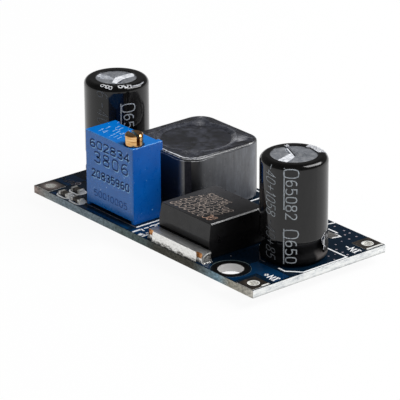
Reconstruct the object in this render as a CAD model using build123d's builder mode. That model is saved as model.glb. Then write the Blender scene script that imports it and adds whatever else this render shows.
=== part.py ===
from build123d import *
import os

# A step-down voltage converter: a small circuit board that carries a switching regulator,
# a shielded inductor, two upright capacitors, a diode, a multi-turn trimmer and two chip parts.
# Millimetres. X runs along the board towards the input end, Y towards the back long edge and
# Z up. The origin is under the middle of the board, at the level of the trimmed lead tips.

# Heights of the board
lead_drop = 1.3
board_thickness = 1.0

# Electrolytic capacitors: a crimped aluminium can in a shrunk plastic film
can_diameter = 8.0
can_length = 12.65
can_top_round = 0.6
can_bottom_round = 0.45
crimp_height = 1.8
crimp_width = 2.0
crimp_depth = 0.75
crimp_round = 0.2
film_wall = 0.15
film_base_lap = 0.5
vent_width = 1.5
vent_depth = 0.32
vent_rise = 0.2
vent_taper = 3.5
vent_margin = 0.6
vent_legs = 3
full_turn = 360
seal_wall = 0.3
seal_depth = 2.4
seal_recess = 0.2
lead_radius = 0.3
lead_pitch = 3.5
input_standoff = 0.3
output_standoff = 0.75
input_film_lap = 1.1
output_film_lap = 1.35
input_vent_angle = 40
output_vent_angle = 102
input_can_y = 0.1
output_can_y = -0.3

# Shielded inductor: a wound drum core glued inside a square ring with round corners
inductor_size = 12.3
inductor_corner = 2.4
inductor_edge_round = 0.35
shield_height = 7.0
shield_wall = 1.12
core_gap = 0.2
core_recess = 0.2
core_edge = 0.15
flange_thickness = 1.2
winding_build = 2.1
winding_clearance = 0.3
glue_depth = 0.5
glue_recess = 0.1
base_thickness = 0.6
clip_thickness = 0.15
clip_width = 5.0
clip_foot = 2.2

# Regulator: a five-lead surface mount power package with a metal tab
tab_width = 10.2
tab_thickness = 1.3
tab_overhang = 1.55
tab_buried = 7.4
tab_notch_width = 1.0
tab_notch_depth = 0.2
package_inset = 0.3
package_depth = 9.2
package_height = 4.5
package_lift = 0.1
package_side_draft = 0.12
package_end_draft = 0.35
package_low_draft = 0.05
package_edge_round = 0.06
neck_wall = 0.7
lead_count = 5
lead_margin = 0.996
strip_width = 0.8
strip_thickness = 0.5
strip_height = 2.4
strip_anchor = 1.2
strip_reach = 4.45
strip_foot = 2.3
strip_slope = 0.9
strip_bend = 0.5
riser_setback = 0.9

# Diode: a moulded block with two strips folded under it
diode_length = 4.4
diode_width = 2.7
diode_height = 2.25
diode_lift = 0.25
diode_draft = 0.18
fold_thickness = 0.2
fold_width = 1.5
fold_stand = 0.4
fold_under = 1.1
fold_anchor = 0.7
fold_bend = 0.25

# Trimmer: a square multi-turn potentiometer with its slotted screw on top
trimmer_length = 9.53
trimmer_depth = 4.83
trimmer_height = 10.04
trimmer_ear_height = 1.2
trimmer_ear_reach = 0.35
trimmer_ear_length = 0.9
trimmer_edge_round = 0.15
trimmer_top_round = 0.1
trimmer_foot_height = 0.4
trimmer_foot_width = 0.5
trimmer_wall = 0.7
potting_depth = 1.3
screw_diameter = 2.3
screw_rise = 1.5
screw_shank = 3.2
screw_clearance = 0.05
screw_end_gap = 0.15
screw_inset = 1.35
screw_chamfer = 0.15
screw_slot_width = 0.45
screw_slot_depth = 1.3
screw_slot_angle = -11
pin_radius = 0.25
pin_pitch = 2.54
pin_count = 3
pin_embed = 2.6

# Chip parts beside the output terminal
chip_length = 1.6
chip_width = 0.8
chip_height = 0.4
chip_skin = 0.05
chip_cap_length = 0.35
chip_spacing = 2.55
chip_row_spacing = 1.95

# Holes, lands and solder
mount_hole_diameter = 3.2
mount_hole_inset_x = 6.6
mount_hole_inset_y = 2.15
wire_bore = 1.3
wire_hole_inset_x = 1.6
wire_hole_inset_y = 1.45
land_size = 2.8
land_thickness = 0.05
plating = 0.05
hole_clearance = 0.15
solder_radius = 1.05
solder_tip_gap = 0.35
solder_collar = 0.1
solder_waist = 0.25
solder_waist_drop = 0.4
solder_rise = 0.15

# Free space between neighbours along the board, from the output end to the input end
output_edge_gap = 0.15
output_can_gap = 1.03
inductor_gap = 1.27
input_can_gap = 0.8
input_edge_gap = 0.85
chip_land_gap = 1.52
chip_side_gap = 0.3
trimmer_side_gap = 4.45

# Free space between neighbours across the board, from the front edge to the back edge
front_edge_gap = 1.55
trimmer_gap = 1.57
back_edge_gap = 0.95
tab_edge_gap = 0.3
diode_gap = 1.3
diode_edge_gap = 1.7
chip_edge_gap = 0.55

# Sizes that follow from the ones above
film_radius = can_diameter / 2 + film_wall
seal_radius = can_diameter / 2 - crimp_depth - seal_wall
film_base_radius = can_diameter / 2 - film_base_lap
vent_slope = vent_width / 2 / vent_depth
shield_bore_radius = inductor_size / 2 - shield_wall
package_width = tab_width - 2 * package_inset
tab_neck_width = package_width - 2 * neck_wall
lead_spacing = (package_width - 2 * lead_margin - strip_width) / (lead_count - 1)
chip_reach = chip_length / 2 + chip_skin

# Distances of the parts from the output end: the back row and the front row fix the length
output_can_run = output_edge_gap + film_radius
inductor_run = output_can_run + film_radius + output_can_gap + inductor_size / 2
chip_left_run = wire_hole_inset_x + land_size / 2 + chip_land_gap + chip_reach
chip_right_run = chip_left_run + chip_spacing
trimmer_run = chip_right_run + chip_reach + chip_side_gap + trimmer_length / 2
tab_run = max(
    inductor_run + inductor_size / 2 + inductor_gap,
    trimmer_run + trimmer_length / 2 + trimmer_side_gap,
)
input_can_run = tab_run + tab_width + input_can_gap + film_radius
board_length = input_can_run + film_radius + input_edge_gap

# The board is as wide as the wider of its two columns of parts
coil_column = front_edge_gap + trimmer_depth + trimmer_gap + inductor_size + back_edge_gap
switch_column = (
    tab_edge_gap
    + tab_overhang
    + package_depth
    + strip_reach
    + diode_gap
    + diode_width
    + diode_edge_gap
)
board_width = max(coil_column, switch_column)
board_bottom = lead_drop
board_top = board_bottom + board_thickness
output_end = -board_length / 2
front_edge = -board_width / 2
back_edge = board_width / 2

# Places of the parts
output_can_x = output_end + output_can_run
input_can_x = output_end + input_can_run
inductor_x = output_end + inductor_run
inductor_y = back_edge - back_edge_gap - inductor_size / 2
regulator_x = output_end + tab_run + tab_width / 2
tab_front = front_edge + tab_edge_gap
package_front = tab_front + tab_overhang
package_back = package_front + package_depth
strip_tip = package_back + strip_reach
diode_x = regulator_x
diode_y = strip_tip + diode_gap + diode_width / 2
trimmer_x = output_end + trimmer_run
trimmer_front = front_edge + front_edge_gap
trimmer_top = board_top + trimmer_height
case_depth = trimmer_depth - trimmer_ear_reach
case_y = trimmer_front + case_depth / 2
ear_y = trimmer_front + trimmer_depth / 2
screw_x = trimmer_x + trimmer_length / 2 - screw_inset
screw_y = trimmer_front + screw_inset
chip_left_x = output_end + chip_left_run
chip_right_x = output_end + chip_right_run
chip_front_y = front_edge + chip_edge_gap + chip_width / 2 + chip_skin
chip_back_y = chip_front_y + chip_row_spacing
wire_hole_x = board_length / 2 - wire_hole_inset_x
wire_hole_y = board_width / 2 - wire_hole_inset_y
mount_hole_x = board_length / 2 - mount_hole_inset_x
mount_hole_y = board_width / 2 - mount_hole_inset_y

pieces = []


def keep(part, name):
    """Label a finished piece and put it on the list of pieces to write."""
    part.label = name
    pieces.append(part)
    return part


def upright(x, y, z):
    """Vertical plane through a point, with its own x along X and its own y along Z."""
    return Plane(origin=(x, y, z), x_dir=(1, 0, 0), z_dir=(0, -1, 0))


def level(x, y, z):
    """Horizontal plane with its origin at a point."""
    return Plane(origin=(x, y, z))


def lead_spots(x, y):
    """The two lead places of a can: the positive one is nearer the front edge."""
    return {"pos": (x, y - lead_pitch / 2), "neg": (x, y + lead_pitch / 2)}


pin_spots = [
    (trimmer_x + (index - (pin_count - 1) / 2) * pin_pitch, case_y)
    for index in range(pin_count)
]
can_leads = list(lead_spots(input_can_x, input_can_y).values())
can_leads += list(lead_spots(output_can_x, output_can_y).values())
wire_spots = {
    "in_pos": (wire_hole_x, -wire_hole_y),
    "in_neg": (wire_hole_x, wire_hole_y),
    "out_pos": (-wire_hole_x, -wire_hole_y),
    "out_neg": (-wire_hole_x, wire_hole_y),
}


def make_board():
    """The bare board with every drilled hole."""
    with BuildPart() as board:
        with BuildSketch(Plane.XY.offset(board_bottom)):
            Rectangle(board_length, board_width)
        extrude(amount=board_thickness)
        with BuildSketch(Plane.XY.offset(board_bottom)):
            with Locations((mount_hole_x, -mount_hole_y), (-mount_hole_x, mount_hole_y)):
                Circle(mount_hole_diameter / 2)
            with Locations(*wire_spots.values()):
                Circle(wire_bore / 2 + plating)
            with Locations(*can_leads):
                Circle(lead_radius + hole_clearance)
            with Locations(*pin_spots):
                Circle(pin_radius + hole_clearance)
        extrude(amount=board_thickness, mode=Mode.SUBTRACT)
    keep(board.part, "board")


def make_wire_land(name, x, y):
    """A plated wire hole: a square land on each face, joined by the barrel in the hole."""
    with BuildPart() as land:
        with BuildSketch(level(x, y, board_bottom - land_thickness)):
            Circle(wire_bore / 2 + plating)
        extrude(amount=board_thickness + 2 * land_thickness)
        for face_z in (board_bottom - land_thickness, board_top):
            with BuildSketch(level(x, y, face_z)):
                Rectangle(land_size, land_size)
            extrude(amount=land_thickness)
        with BuildSketch(level(x, y, board_bottom - land_thickness)):
            Circle(wire_bore / 2)
        extrude(amount=board_thickness + 2 * land_thickness, mode=Mode.SUBTRACT)
    keep(land.part, name)


def make_solder_joint(name, x, y, wire_radius):
    """The solder round a lead: a hollow-sided cone below, the filled hole and a low collar."""
    hole_radius = wire_radius + hole_clearance
    with BuildPart() as joint:
        with BuildSketch(upright(x, y, 0)):
            with BuildLine():
                start = (wire_radius, solder_tip_gap)
                foot = (wire_radius + solder_collar, solder_tip_gap)
                rim = (solder_radius, board_bottom)
                waist = (wire_radius + solder_waist, board_bottom - solder_waist_drop)
                Line(start, foot)
                ThreePointArc(foot, waist, rim)
                Polyline(
                    rim,
                    (hole_radius, board_bottom),
                    (hole_radius, board_top),
                    (wire_radius, board_top + solder_rise),
                    start,
                )
            make_face()
        revolve(axis=Axis((x, y, 0), (0, 0, 1)))
    keep(joint.part, name)


def can_profile(wall):
    """Half section of the can, or of the film over it once its wall is added."""
    radius = can_diameter / 2 + wall
    with BuildSketch() as profile:
        with BuildLine():
            Polyline(
                (radius, crimp_height - crimp_width / 2),
                (radius, -wall),
                (0, -wall),
                (0, can_length + wall),
                (radius, can_length + wall),
                (radius, crimp_height + crimp_width / 2),
            )
            ThreePointArc(
                (radius, crimp_height + crimp_width / 2),
                (radius - crimp_depth, crimp_height),
                (radius, crimp_height - crimp_width / 2),
            )
        make_face()
        crimp_span = crimp_width / 2 + film_wall
        crimp_corners = profile.vertices().filter_by_position(
            Axis.Y, crimp_height - crimp_span, crimp_height + crimp_span
        )
        fillet(crimp_corners, crimp_round + wall)
        low_corner = profile.vertices().group_by(Axis.Y)[0].sort_by(Axis.X)[-1]
        fillet(low_corner, can_bottom_round + wall)
        high_corner = profile.vertices().group_by(Axis.Y)[-1].sort_by(Axis.X)[-1]
        fillet(high_corner, can_top_round + wall)
    return profile.sketch


def make_capacitor(name, x, y, standoff, film_lap, vent_angle):
    """One capacitor: can, film, rubber seal, two leads and the solder round them."""
    base = board_top + standoff
    axis = Axis((x, y, base), (0, 0, 1))
    mouth_radius = can_diameter / 2 - film_lap
    vent_half_width = (vent_depth + vent_rise) * vent_slope
    with BuildPart() as can:
        with BuildSketch(upright(x, y, base)):
            add(can_profile(0))
        revolve(axis=axis)
        with BuildSketch(level(x, y, base)):
            Circle(seal_radius)
        extrude(amount=seal_depth, mode=Mode.SUBTRACT)
        for leg in range(vent_legs):
            turn = vent_angle + leg * full_turn / vent_legs
            along = Vector(1, 0, 0).rotate(Axis.Z, turn)
            across = Vector(0, 1, 0).rotate(Axis.Z, turn)
            with BuildSketch(Plane((x, y, base + can_length), x_dir=across, z_dir=along)):
                with BuildLine():
                    Polyline(
                        (0, -vent_depth),
                        (vent_half_width, vent_rise),
                        (-vent_half_width, vent_rise),
                        close=True,
                    )
                make_face()
            extrude(amount=mouth_radius - vent_margin, taper=vent_taper, mode=Mode.SUBTRACT)
    keep(can.part, f"{name}_can")

    with BuildPart() as film:
        with BuildSketch(upright(x, y, base)):
            add(can_profile(film_wall))
        revolve(axis=axis)
        with BuildSketch(upright(x, y, base)):
            add(can_profile(0))
        revolve(axis=axis, mode=Mode.SUBTRACT)
        with BuildSketch(level(x, y, base + can_length)):
            Circle(mouth_radius)
        extrude(amount=film_wall, mode=Mode.SUBTRACT)
        with BuildSketch(level(x, y, base - film_wall)):
            Circle(film_base_radius)
        extrude(amount=film_wall, mode=Mode.SUBTRACT)
    keep(film.part, f"{name}_film")

    with BuildPart() as seal:
        with BuildSketch(level(x, y, base + seal_recess)):
            Circle(seal_radius)
            with Locations((0, -lead_pitch / 2), (0, lead_pitch / 2)):
                Circle(lead_radius, mode=Mode.SUBTRACT)
        extrude(amount=seal_depth - seal_recess)
    keep(seal.part, f"{name}_seal")

    for polarity, (lead_x, lead_y) in lead_spots(x, y).items():
        with BuildPart() as lead:
            with BuildSketch(level(lead_x, lead_y, 0)):
                Circle(lead_radius)
            extrude(amount=base + seal_depth)
        keep(lead.part, f"{name}_lead_{polarity}")
        make_solder_joint(f"{name}_solder_{polarity}", lead_x, lead_y, lead_radius)


def make_inductor():
    """The inductor: clips, base, wound drum core, glue line and shield ring."""
    half = inductor_size / 2
    base_z = board_top + clip_thickness
    shield_z = base_z + base_thickness
    shield_top = shield_z + shield_height
    core_top = shield_top - core_recess
    core_radius = shield_bore_radius - core_gap
    winding_radius = core_radius - winding_clearance
    core_post_radius = winding_radius - winding_build
    post_z = shield_z + flange_thickness
    post_top = core_top - flange_thickness
    axis = Axis((inductor_x, inductor_y, 0), (0, 0, 1))

    with BuildPart() as shield:
        with BuildSketch(level(inductor_x, inductor_y, shield_z)):
            RectangleRounded(inductor_size, inductor_size, inductor_corner)
        extrude(amount=shield_height)
        fillet(shield.faces().sort_by(Axis.Z)[-1].edges(), inductor_edge_round)
        with BuildSketch(level(inductor_x, inductor_y, shield_z)):
            Circle(shield_bore_radius)
        extrude(amount=shield_height, mode=Mode.SUBTRACT)
    keep(shield.part, "inductor_shield")

    with BuildPart() as core:
        with BuildSketch(upright(inductor_x, inductor_y, 0)):
            with BuildLine():
                Polyline(
                    (0, core_top),
                    (0, shield_z),
                    (core_radius, shield_z),
                    (core_radius, post_z),
                    (core_post_radius, post_z),
                    (core_post_radius, post_top),
                    (core_radius, post_top),
                    (core_radius, core_top - core_edge),
                    (core_radius - core_edge, core_top),
                    close=True,
                )
            make_face()
        revolve(axis=axis)
    keep(core.part, "inductor_core")

    with BuildPart() as winding:
        with BuildSketch(level(inductor_x, inductor_y, post_z)):
            Circle(winding_radius)
            Circle(core_post_radius, mode=Mode.SUBTRACT)
        extrude(amount=post_top - post_z)
    keep(winding.part, "inductor_winding")

    with BuildPart() as glue:
        with BuildSketch(level(inductor_x, inductor_y, core_top - core_edge - glue_recess)):
            Circle(shield_bore_radius)
            Circle(core_radius, mode=Mode.SUBTRACT)
        extrude(amount=-glue_depth)
    keep(glue.part, "inductor_glue")

    with BuildPart() as base:
        with BuildSketch(level(inductor_x, inductor_y, base_z)):
            RectangleRounded(
                inductor_size - 2 * clip_thickness,
                inductor_size - 2 * clip_thickness,
                inductor_corner - clip_thickness,
            )
        extrude(amount=base_thickness)
    keep(base.part, "inductor_base")

    for side, name in ((-1, "inductor_clip_out"), (1, "inductor_clip_in")):
        with BuildPart() as clip:
            with BuildSketch(upright(inductor_x, inductor_y + clip_width / 2, board_top)):
                with BuildLine():
                    Polyline(
                        (side * half, 0),
                        (side * half, clip_thickness + base_thickness),
                        (side * (half - clip_thickness), clip_thickness + base_thickness),
                        (side * (half - clip_thickness), clip_thickness),
                        (side * (half - clip_foot), clip_thickness),
                        (side * (half - clip_foot), 0),
                        close=True,
                    )
                make_face()
            extrude(amount=clip_width)
        keep(clip.part, name)


def strip_run(x, start_y, start_z):
    """Centre line of a lead from inside the package, out, down and along the board."""
    foot_z = board_top + strip_thickness / 2
    knee_y = strip_tip - strip_foot
    with BuildLine() as run:
        FilletPolyline(
            (x, start_y, start_z),
            (x, knee_y - strip_slope, start_z),
            (x, knee_y, foot_z),
            (x, strip_tip, foot_z),
            radius=strip_bend,
        )
    return run.line


def make_regulator():
    """The regulator: tab with its middle lead, four outer leads and the moulded package."""
    strip_z = board_top + strip_height
    tab_back = package_front + tab_buried
    anchor_y = package_back - strip_anchor
    riser_y = package_back - riser_setback
    metal = []

    with BuildPart() as tab:
        with BuildSketch(level(regulator_x, 0, board_top)):
            with Locations((0, (tab_front + package_front) / 2)):
                Rectangle(tab_width, tab_overhang)
            with Locations((0, (package_front + tab_back) / 2)):
                Rectangle(tab_neck_width, tab_buried)
            notch_x = (tab_width - tab_notch_width) / 2
            notch_y = tab_front + tab_notch_depth / 2
            with Locations((-notch_x, notch_y), (notch_x, notch_y)):
                Rectangle(tab_notch_width, tab_notch_depth, mode=Mode.SUBTRACT)
        extrude(amount=tab_thickness)
        with BuildSketch(level(regulator_x, 0, board_top)):
            with Locations((0, (tab_back + riser_y) / 2)):
                Rectangle(strip_width, riser_y - tab_back)
        extrude(amount=tab_thickness)
        with BuildSketch(level(regulator_x, riser_y - strip_thickness / 2, board_top)):
            Rectangle(strip_width, strip_thickness)
        extrude(amount=strip_height + strip_thickness / 2)
        middle_run = strip_run(regulator_x, riser_y - strip_thickness, strip_z)
        add(middle_run)
        with BuildSketch(Plane(middle_run @ 0, x_dir=(1, 0, 0), z_dir=middle_run % 0)):
            Rectangle(strip_width, strip_thickness)
        sweep()
    metal.append(keep(tab.part, "regulator_tab"))

    middle = (lead_count - 1) // 2
    for index in range(lead_count):
        if index != middle:
            run = strip_run(regulator_x + (index - middle) * lead_spacing, anchor_y, strip_z)
            with BuildPart() as lead:
                add(run)
                with BuildSketch(Plane(run @ 0, x_dir=(1, 0, 0), z_dir=run % 0)):
                    Rectangle(strip_width, strip_thickness)
                sweep()
            metal.append(keep(lead.part, f"regulator_lead_{index + 1}"))

    centre_y = (package_front + package_back) / 2
    with BuildPart() as package:
        with BuildSketch(level(regulator_x, centre_y, strip_z)):
            Rectangle(package_width, package_depth)
        with BuildSketch(level(regulator_x, centre_y, board_top + package_height)):
            Rectangle(
                package_width - 2 * package_side_draft, package_depth - 2 * package_end_draft
            )
        loft()
        with BuildSketch(level(regulator_x, centre_y, strip_z)):
            Rectangle(package_width, package_depth)
        with BuildSketch(level(regulator_x, centre_y, board_top + package_lift)):
            Rectangle(
                package_width - 2 * package_low_draft, package_depth - 2 * package_low_draft
            )
        loft()
        fillet(package.faces().sort_by(Axis.Z)[-1].edges(), package_edge_round)
        for piece in metal:
            add(piece, mode=Mode.SUBTRACT)
    keep(package.part, "regulator_package")


def make_diode():
    """The diode: two folded strips and the moulded block between them."""
    strip_z = board_top + (diode_height + diode_lift) / 2
    under_z = board_top + fold_thickness / 2
    half = diode_length / 2
    strips = []
    for side, name in ((-1, "diode_strip_anode"), (1, "diode_strip_cathode")):
        with BuildLine() as fold:
            FilletPolyline(
                (diode_x + side * (half - fold_anchor), diode_y, strip_z),
                (diode_x + side * (half + fold_stand), diode_y, strip_z),
                (diode_x + side * (half + fold_stand), diode_y, under_z),
                (diode_x + side * (half - fold_under), diode_y, under_z),
                radius=fold_bend,
            )
        with BuildPart() as strip:
            add(fold.line)
            with BuildSketch(Plane(fold.line @ 0, x_dir=(0, 1, 0), z_dir=fold.line % 0)):
                Rectangle(fold_width, fold_thickness)
            sweep()
        strips.append(keep(strip.part, name))

    with BuildPart() as block:
        for end_z in (board_top + diode_height, board_top + diode_lift):
            with BuildSketch(level(diode_x, diode_y, strip_z)):
                Rectangle(diode_length, diode_width)
            with BuildSketch(level(diode_x, diode_y, end_z)):
                Rectangle(diode_length - 2 * diode_draft, diode_width - 2 * diode_draft)
            loft()
        for strip in strips:
            add(strip, mode=Mode.SUBTRACT)
    keep(block.part, "diode_block")


def make_trimmer():
    """The trimmer: case on two ribs, potted underside, three pins and the turning screw."""
    case_z = board_top + trimmer_foot_height
    bore_radius = screw_diameter / 2 + screw_clearance
    pocket_length = trimmer_length - 2 * trimmer_wall
    pocket_depth = case_depth - 2 * trimmer_wall
    foot_spread = trimmer_length - trimmer_foot_width
    pins = []

    for index, (pin_x, pin_y) in enumerate(pin_spots):
        with BuildPart() as pin:
            with BuildSketch(level(pin_x, pin_y, 0)):
                Circle(pin_radius)
            extrude(amount=case_z + pin_embed)
        pins.append(keep(pin.part, f"trimmer_pin_{index + 1}"))
        make_solder_joint(f"trimmer_solder_{index + 1}", pin_x, pin_y, pin_radius)

    with BuildPart() as case:
        with BuildSketch(level(trimmer_x, case_y, case_z)):
            Rectangle(trimmer_length, case_depth)
        extrude(amount=trimmer_height - trimmer_foot_height)
        with BuildSketch(level(trimmer_x, ear_y, trimmer_top - trimmer_ear_height)):
            with GridLocations(trimmer_length - trimmer_ear_length, 0, 2, 1):
                Rectangle(trimmer_ear_length, trimmer_depth)
        extrude(amount=trimmer_ear_height)
        upright_edges = case.edges().filter_by(Axis.Z)
        fillet(upright_edges.group_by(Axis.X)[0], trimmer_edge_round)
        upright_edges = case.edges().filter_by(Axis.Z)
        fillet(upright_edges.group_by(Axis.X)[-1], trimmer_edge_round)
        fillet(case.faces().sort_by(Axis.Z)[-1].edges(), trimmer_top_round)
        with BuildSketch(level(trimmer_x, case_y, board_top)):
            with GridLocations(foot_spread, 0, 2, 1):
                RectangleRounded(trimmer_foot_width, case_depth, trimmer_edge_round)
        extrude(amount=trimmer_foot_height)
        with BuildSketch(level(trimmer_x, case_y, case_z)):
            Rectangle(pocket_length, pocket_depth)
        extrude(amount=potting_depth, mode=Mode.SUBTRACT)
        with BuildSketch(level(screw_x, screw_y, trimmer_top)):
            Circle(bore_radius)
        extrude(amount=-screw_shank - screw_end_gap, mode=Mode.SUBTRACT)
        for pin in pins:
            add(pin, mode=Mode.SUBTRACT)
    keep(case.part, "trimmer_case")

    with BuildPart() as potting:
        with BuildSketch(level(trimmer_x, case_y, case_z)):
            Rectangle(pocket_length, pocket_depth)
        extrude(amount=potting_depth)
        for pin in pins:
            add(pin, mode=Mode.SUBTRACT)
    keep(potting.part, "trimmer_potting")

    with BuildPart() as screw:
        with BuildSketch(level(screw_x, screw_y, trimmer_top - screw_shank)):
            Circle(screw_diameter / 2)
        extrude(amount=screw_shank + screw_rise)
        chamfer(screw.edges().sort_by(Axis.Z)[-1], screw_chamfer)
        with BuildSketch(level(screw_x, screw_y, trimmer_top + screw_rise)):
            Rectangle(2 * screw_diameter, screw_slot_width, rotation=screw_slot_angle)
        extrude(amount=-screw_slot_depth, mode=Mode.SUBTRACT)
    keep(screw.part, "trimmer_screw")


def make_chip(name, x, y):
    """A chip part: a ceramic block with a metal cap over each end."""
    with BuildPart() as block:
        with BuildSketch(level(x, y, board_top + chip_skin)):
            Rectangle(chip_length, chip_width)
        extrude(amount=chip_height)
    keep(block.part, f"{name}_block")

    cap_x = (chip_length + 2 * chip_skin - chip_cap_length) / 2
    for side, end in ((-1, "left"), (1, "right")):
        with BuildPart() as cap:
            with BuildSketch(level(x + side * cap_x, y, board_top)):
                Rectangle(chip_cap_length, chip_width + 2 * chip_skin)
            extrude(amount=chip_height + 2 * chip_skin)
            add(block.part, mode=Mode.SUBTRACT)
        keep(cap.part, f"{name}_cap_{end}")


make_board()
for spot_name, (spot_x, spot_y) in wire_spots.items():
    make_wire_land(f"land_{spot_name}", spot_x, spot_y)
make_capacitor("input", input_can_x, input_can_y, input_standoff, input_film_lap, input_vent_angle)
make_capacitor("output", output_can_x, output_can_y, output_standoff, output_film_lap, output_vent_angle)
make_inductor()
make_regulator()
make_diode()
make_trimmer()
make_chip("chip_front_left", chip_left_x, chip_front_y)
make_chip("chip_front_right", chip_right_x, chip_front_y)
make_chip("chip_back_left", chip_left_x, chip_back_y)

os.makedirs("parts", exist_ok=True)
for piece in pieces:
    export_step(piece, f"parts/{piece.label}.step")
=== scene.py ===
import math
import random

import bmesh
import bpy
from mathutils import Matrix, Vector, noise


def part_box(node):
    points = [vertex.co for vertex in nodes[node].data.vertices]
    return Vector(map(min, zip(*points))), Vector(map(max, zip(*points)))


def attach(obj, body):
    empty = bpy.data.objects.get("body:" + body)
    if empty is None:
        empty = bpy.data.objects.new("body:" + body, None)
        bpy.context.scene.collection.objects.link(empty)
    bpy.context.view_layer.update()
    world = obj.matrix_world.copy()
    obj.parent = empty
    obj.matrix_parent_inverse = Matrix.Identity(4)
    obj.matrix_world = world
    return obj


# The looks of a step-down converter board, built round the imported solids. Lengths are
# millimetres until a mesh is made; inside a material, places are metres in the row's frame.

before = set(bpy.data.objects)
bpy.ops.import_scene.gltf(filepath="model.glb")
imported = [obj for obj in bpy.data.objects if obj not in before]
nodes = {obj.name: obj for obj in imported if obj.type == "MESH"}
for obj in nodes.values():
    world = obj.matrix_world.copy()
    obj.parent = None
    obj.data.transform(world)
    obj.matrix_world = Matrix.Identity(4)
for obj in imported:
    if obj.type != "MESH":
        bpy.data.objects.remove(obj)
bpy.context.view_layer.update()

MM = 0.001
MICRON = 0.000001
BODY = "module"
MOUNT_HOLES = ((15.0, -8.45), (-15.0, 8.45))
CHIPS = ("front_left", "front_right", "back_left")
ENDS = ((-1, "left"), (1, "right"))
DOWN = -math.pi / 2


def box(name):
    """Lowest and highest corner of a solid in millimetres."""
    low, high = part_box(name)
    return Vector(low) / MM, Vector(high) / MM


def middle(name):
    low, high = box(name)
    return (low + high) / 2


board_low, board_high = box("board")
LEFT, FRONT, UNDER = board_low
RIGHT, BACK, TOP = board_high


def make_camera():
    """The view of the photo, fitted to the corners of the parts."""
    azimuth, elevation, roll = (math.radians(angle) for angle in (50.581, 22.429, -0.34))
    target, distance, slide, lift = Vector((0, 0, 5.7)), 354.917, -0.625, -1.364
    focal_pixels, frame_pixels, sensor = 2847.26, 400, 36
    back = Vector((
        math.sin(azimuth) * math.cos(elevation),
        -math.cos(azimuth) * math.cos(elevation),
        math.sin(elevation),
    ))
    right = (-back).cross(Vector((0, 0, 1))).normalized()
    up = right.cross(-back)
    right_rolled = right * math.cos(roll) + up * math.sin(roll)
    up_rolled = up * math.cos(roll) - right * math.sin(roll)
    place = (target + back * distance + right_rolled * slide + up_rolled * lift) * MM
    data = bpy.data.cameras.new("camera")
    data.sensor_width = sensor
    data.lens = sensor * focal_pixels / frame_pixels
    data.clip_start, data.clip_end = 0.01, 20
    camera = bpy.data.objects.new("camera", data)
    turn = Matrix((right_rolled, up_rolled, back)).transposed().to_4x4()
    camera.matrix_world = Matrix.Translation(place) @ turn
    bpy.context.scene.collection.objects.link(camera)
    bpy.context.scene.camera = camera


# Node trees

def rgba(value):
    return (*value, 1) if isinstance(value, tuple) else (value, value, value, 1)


class Graph:
    """A node tree, built step by step."""

    def __init__(self, owner):
        owner.use_nodes = True
        self.tree = owner.node_tree
        self.tree.nodes.clear()

    def plug(self, socket, value):
        if isinstance(value, bpy.types.NodeSocket):
            self.tree.links.new(value, socket)
        else:
            socket.default_value = rgba(value) if socket.type == "RGBA" else value

    def add(self, kind, *values, **settings):
        """A node with values or sockets for its first inputs."""
        node = self.tree.nodes.new("ShaderNode" + kind)
        for key, value in settings.items():
            setattr(node, key, value)
        for socket, value in zip(node.inputs, values):
            self.plug(socket, value)
        return node

    def wire(self, kind, *values, **settings):
        return self.add(kind, *values, **settings).outputs[0]

    def sum(self, operation, first, second=0.0):
        return self.wire("Math", first, second, operation=operation)

    def times(self, first, second):
        return self.sum("MULTIPLY", first, second)

    def parts(self, vector):
        return self.add("SeparateXYZ", vector).outputs

    def grain(self, value):
        """A socket stays as it is; anything else is the settings of a noise."""
        if isinstance(value, bpy.types.NodeSocket):
            return value
        return self.noise(*value) if isinstance(value, tuple) else self.noise(value)

    def ramp(self, value, *stops):
        node = self.add("ValToRGB", self.grain(value))
        elements = node.color_ramp.elements
        while len(elements) < len(stops):
            elements.new(0.5)
        for element, (position, color) in zip(elements, stops):
            element.position = position
            element.color = rgba(color)
        return node.outputs["Color"]

    def shown(self):
        """1 for a ray that the background is seen by, straight or in a gloss."""
        path = self.add("LightPath")
        seen = path.outputs["Is Camera Ray"]
        for kind in ("Is Glossy Ray", "Is Transmission Ray"):
            seen = self.sum("MAXIMUM", seen, path.outputs[kind])
        return seen


LOOKS = {}


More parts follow.
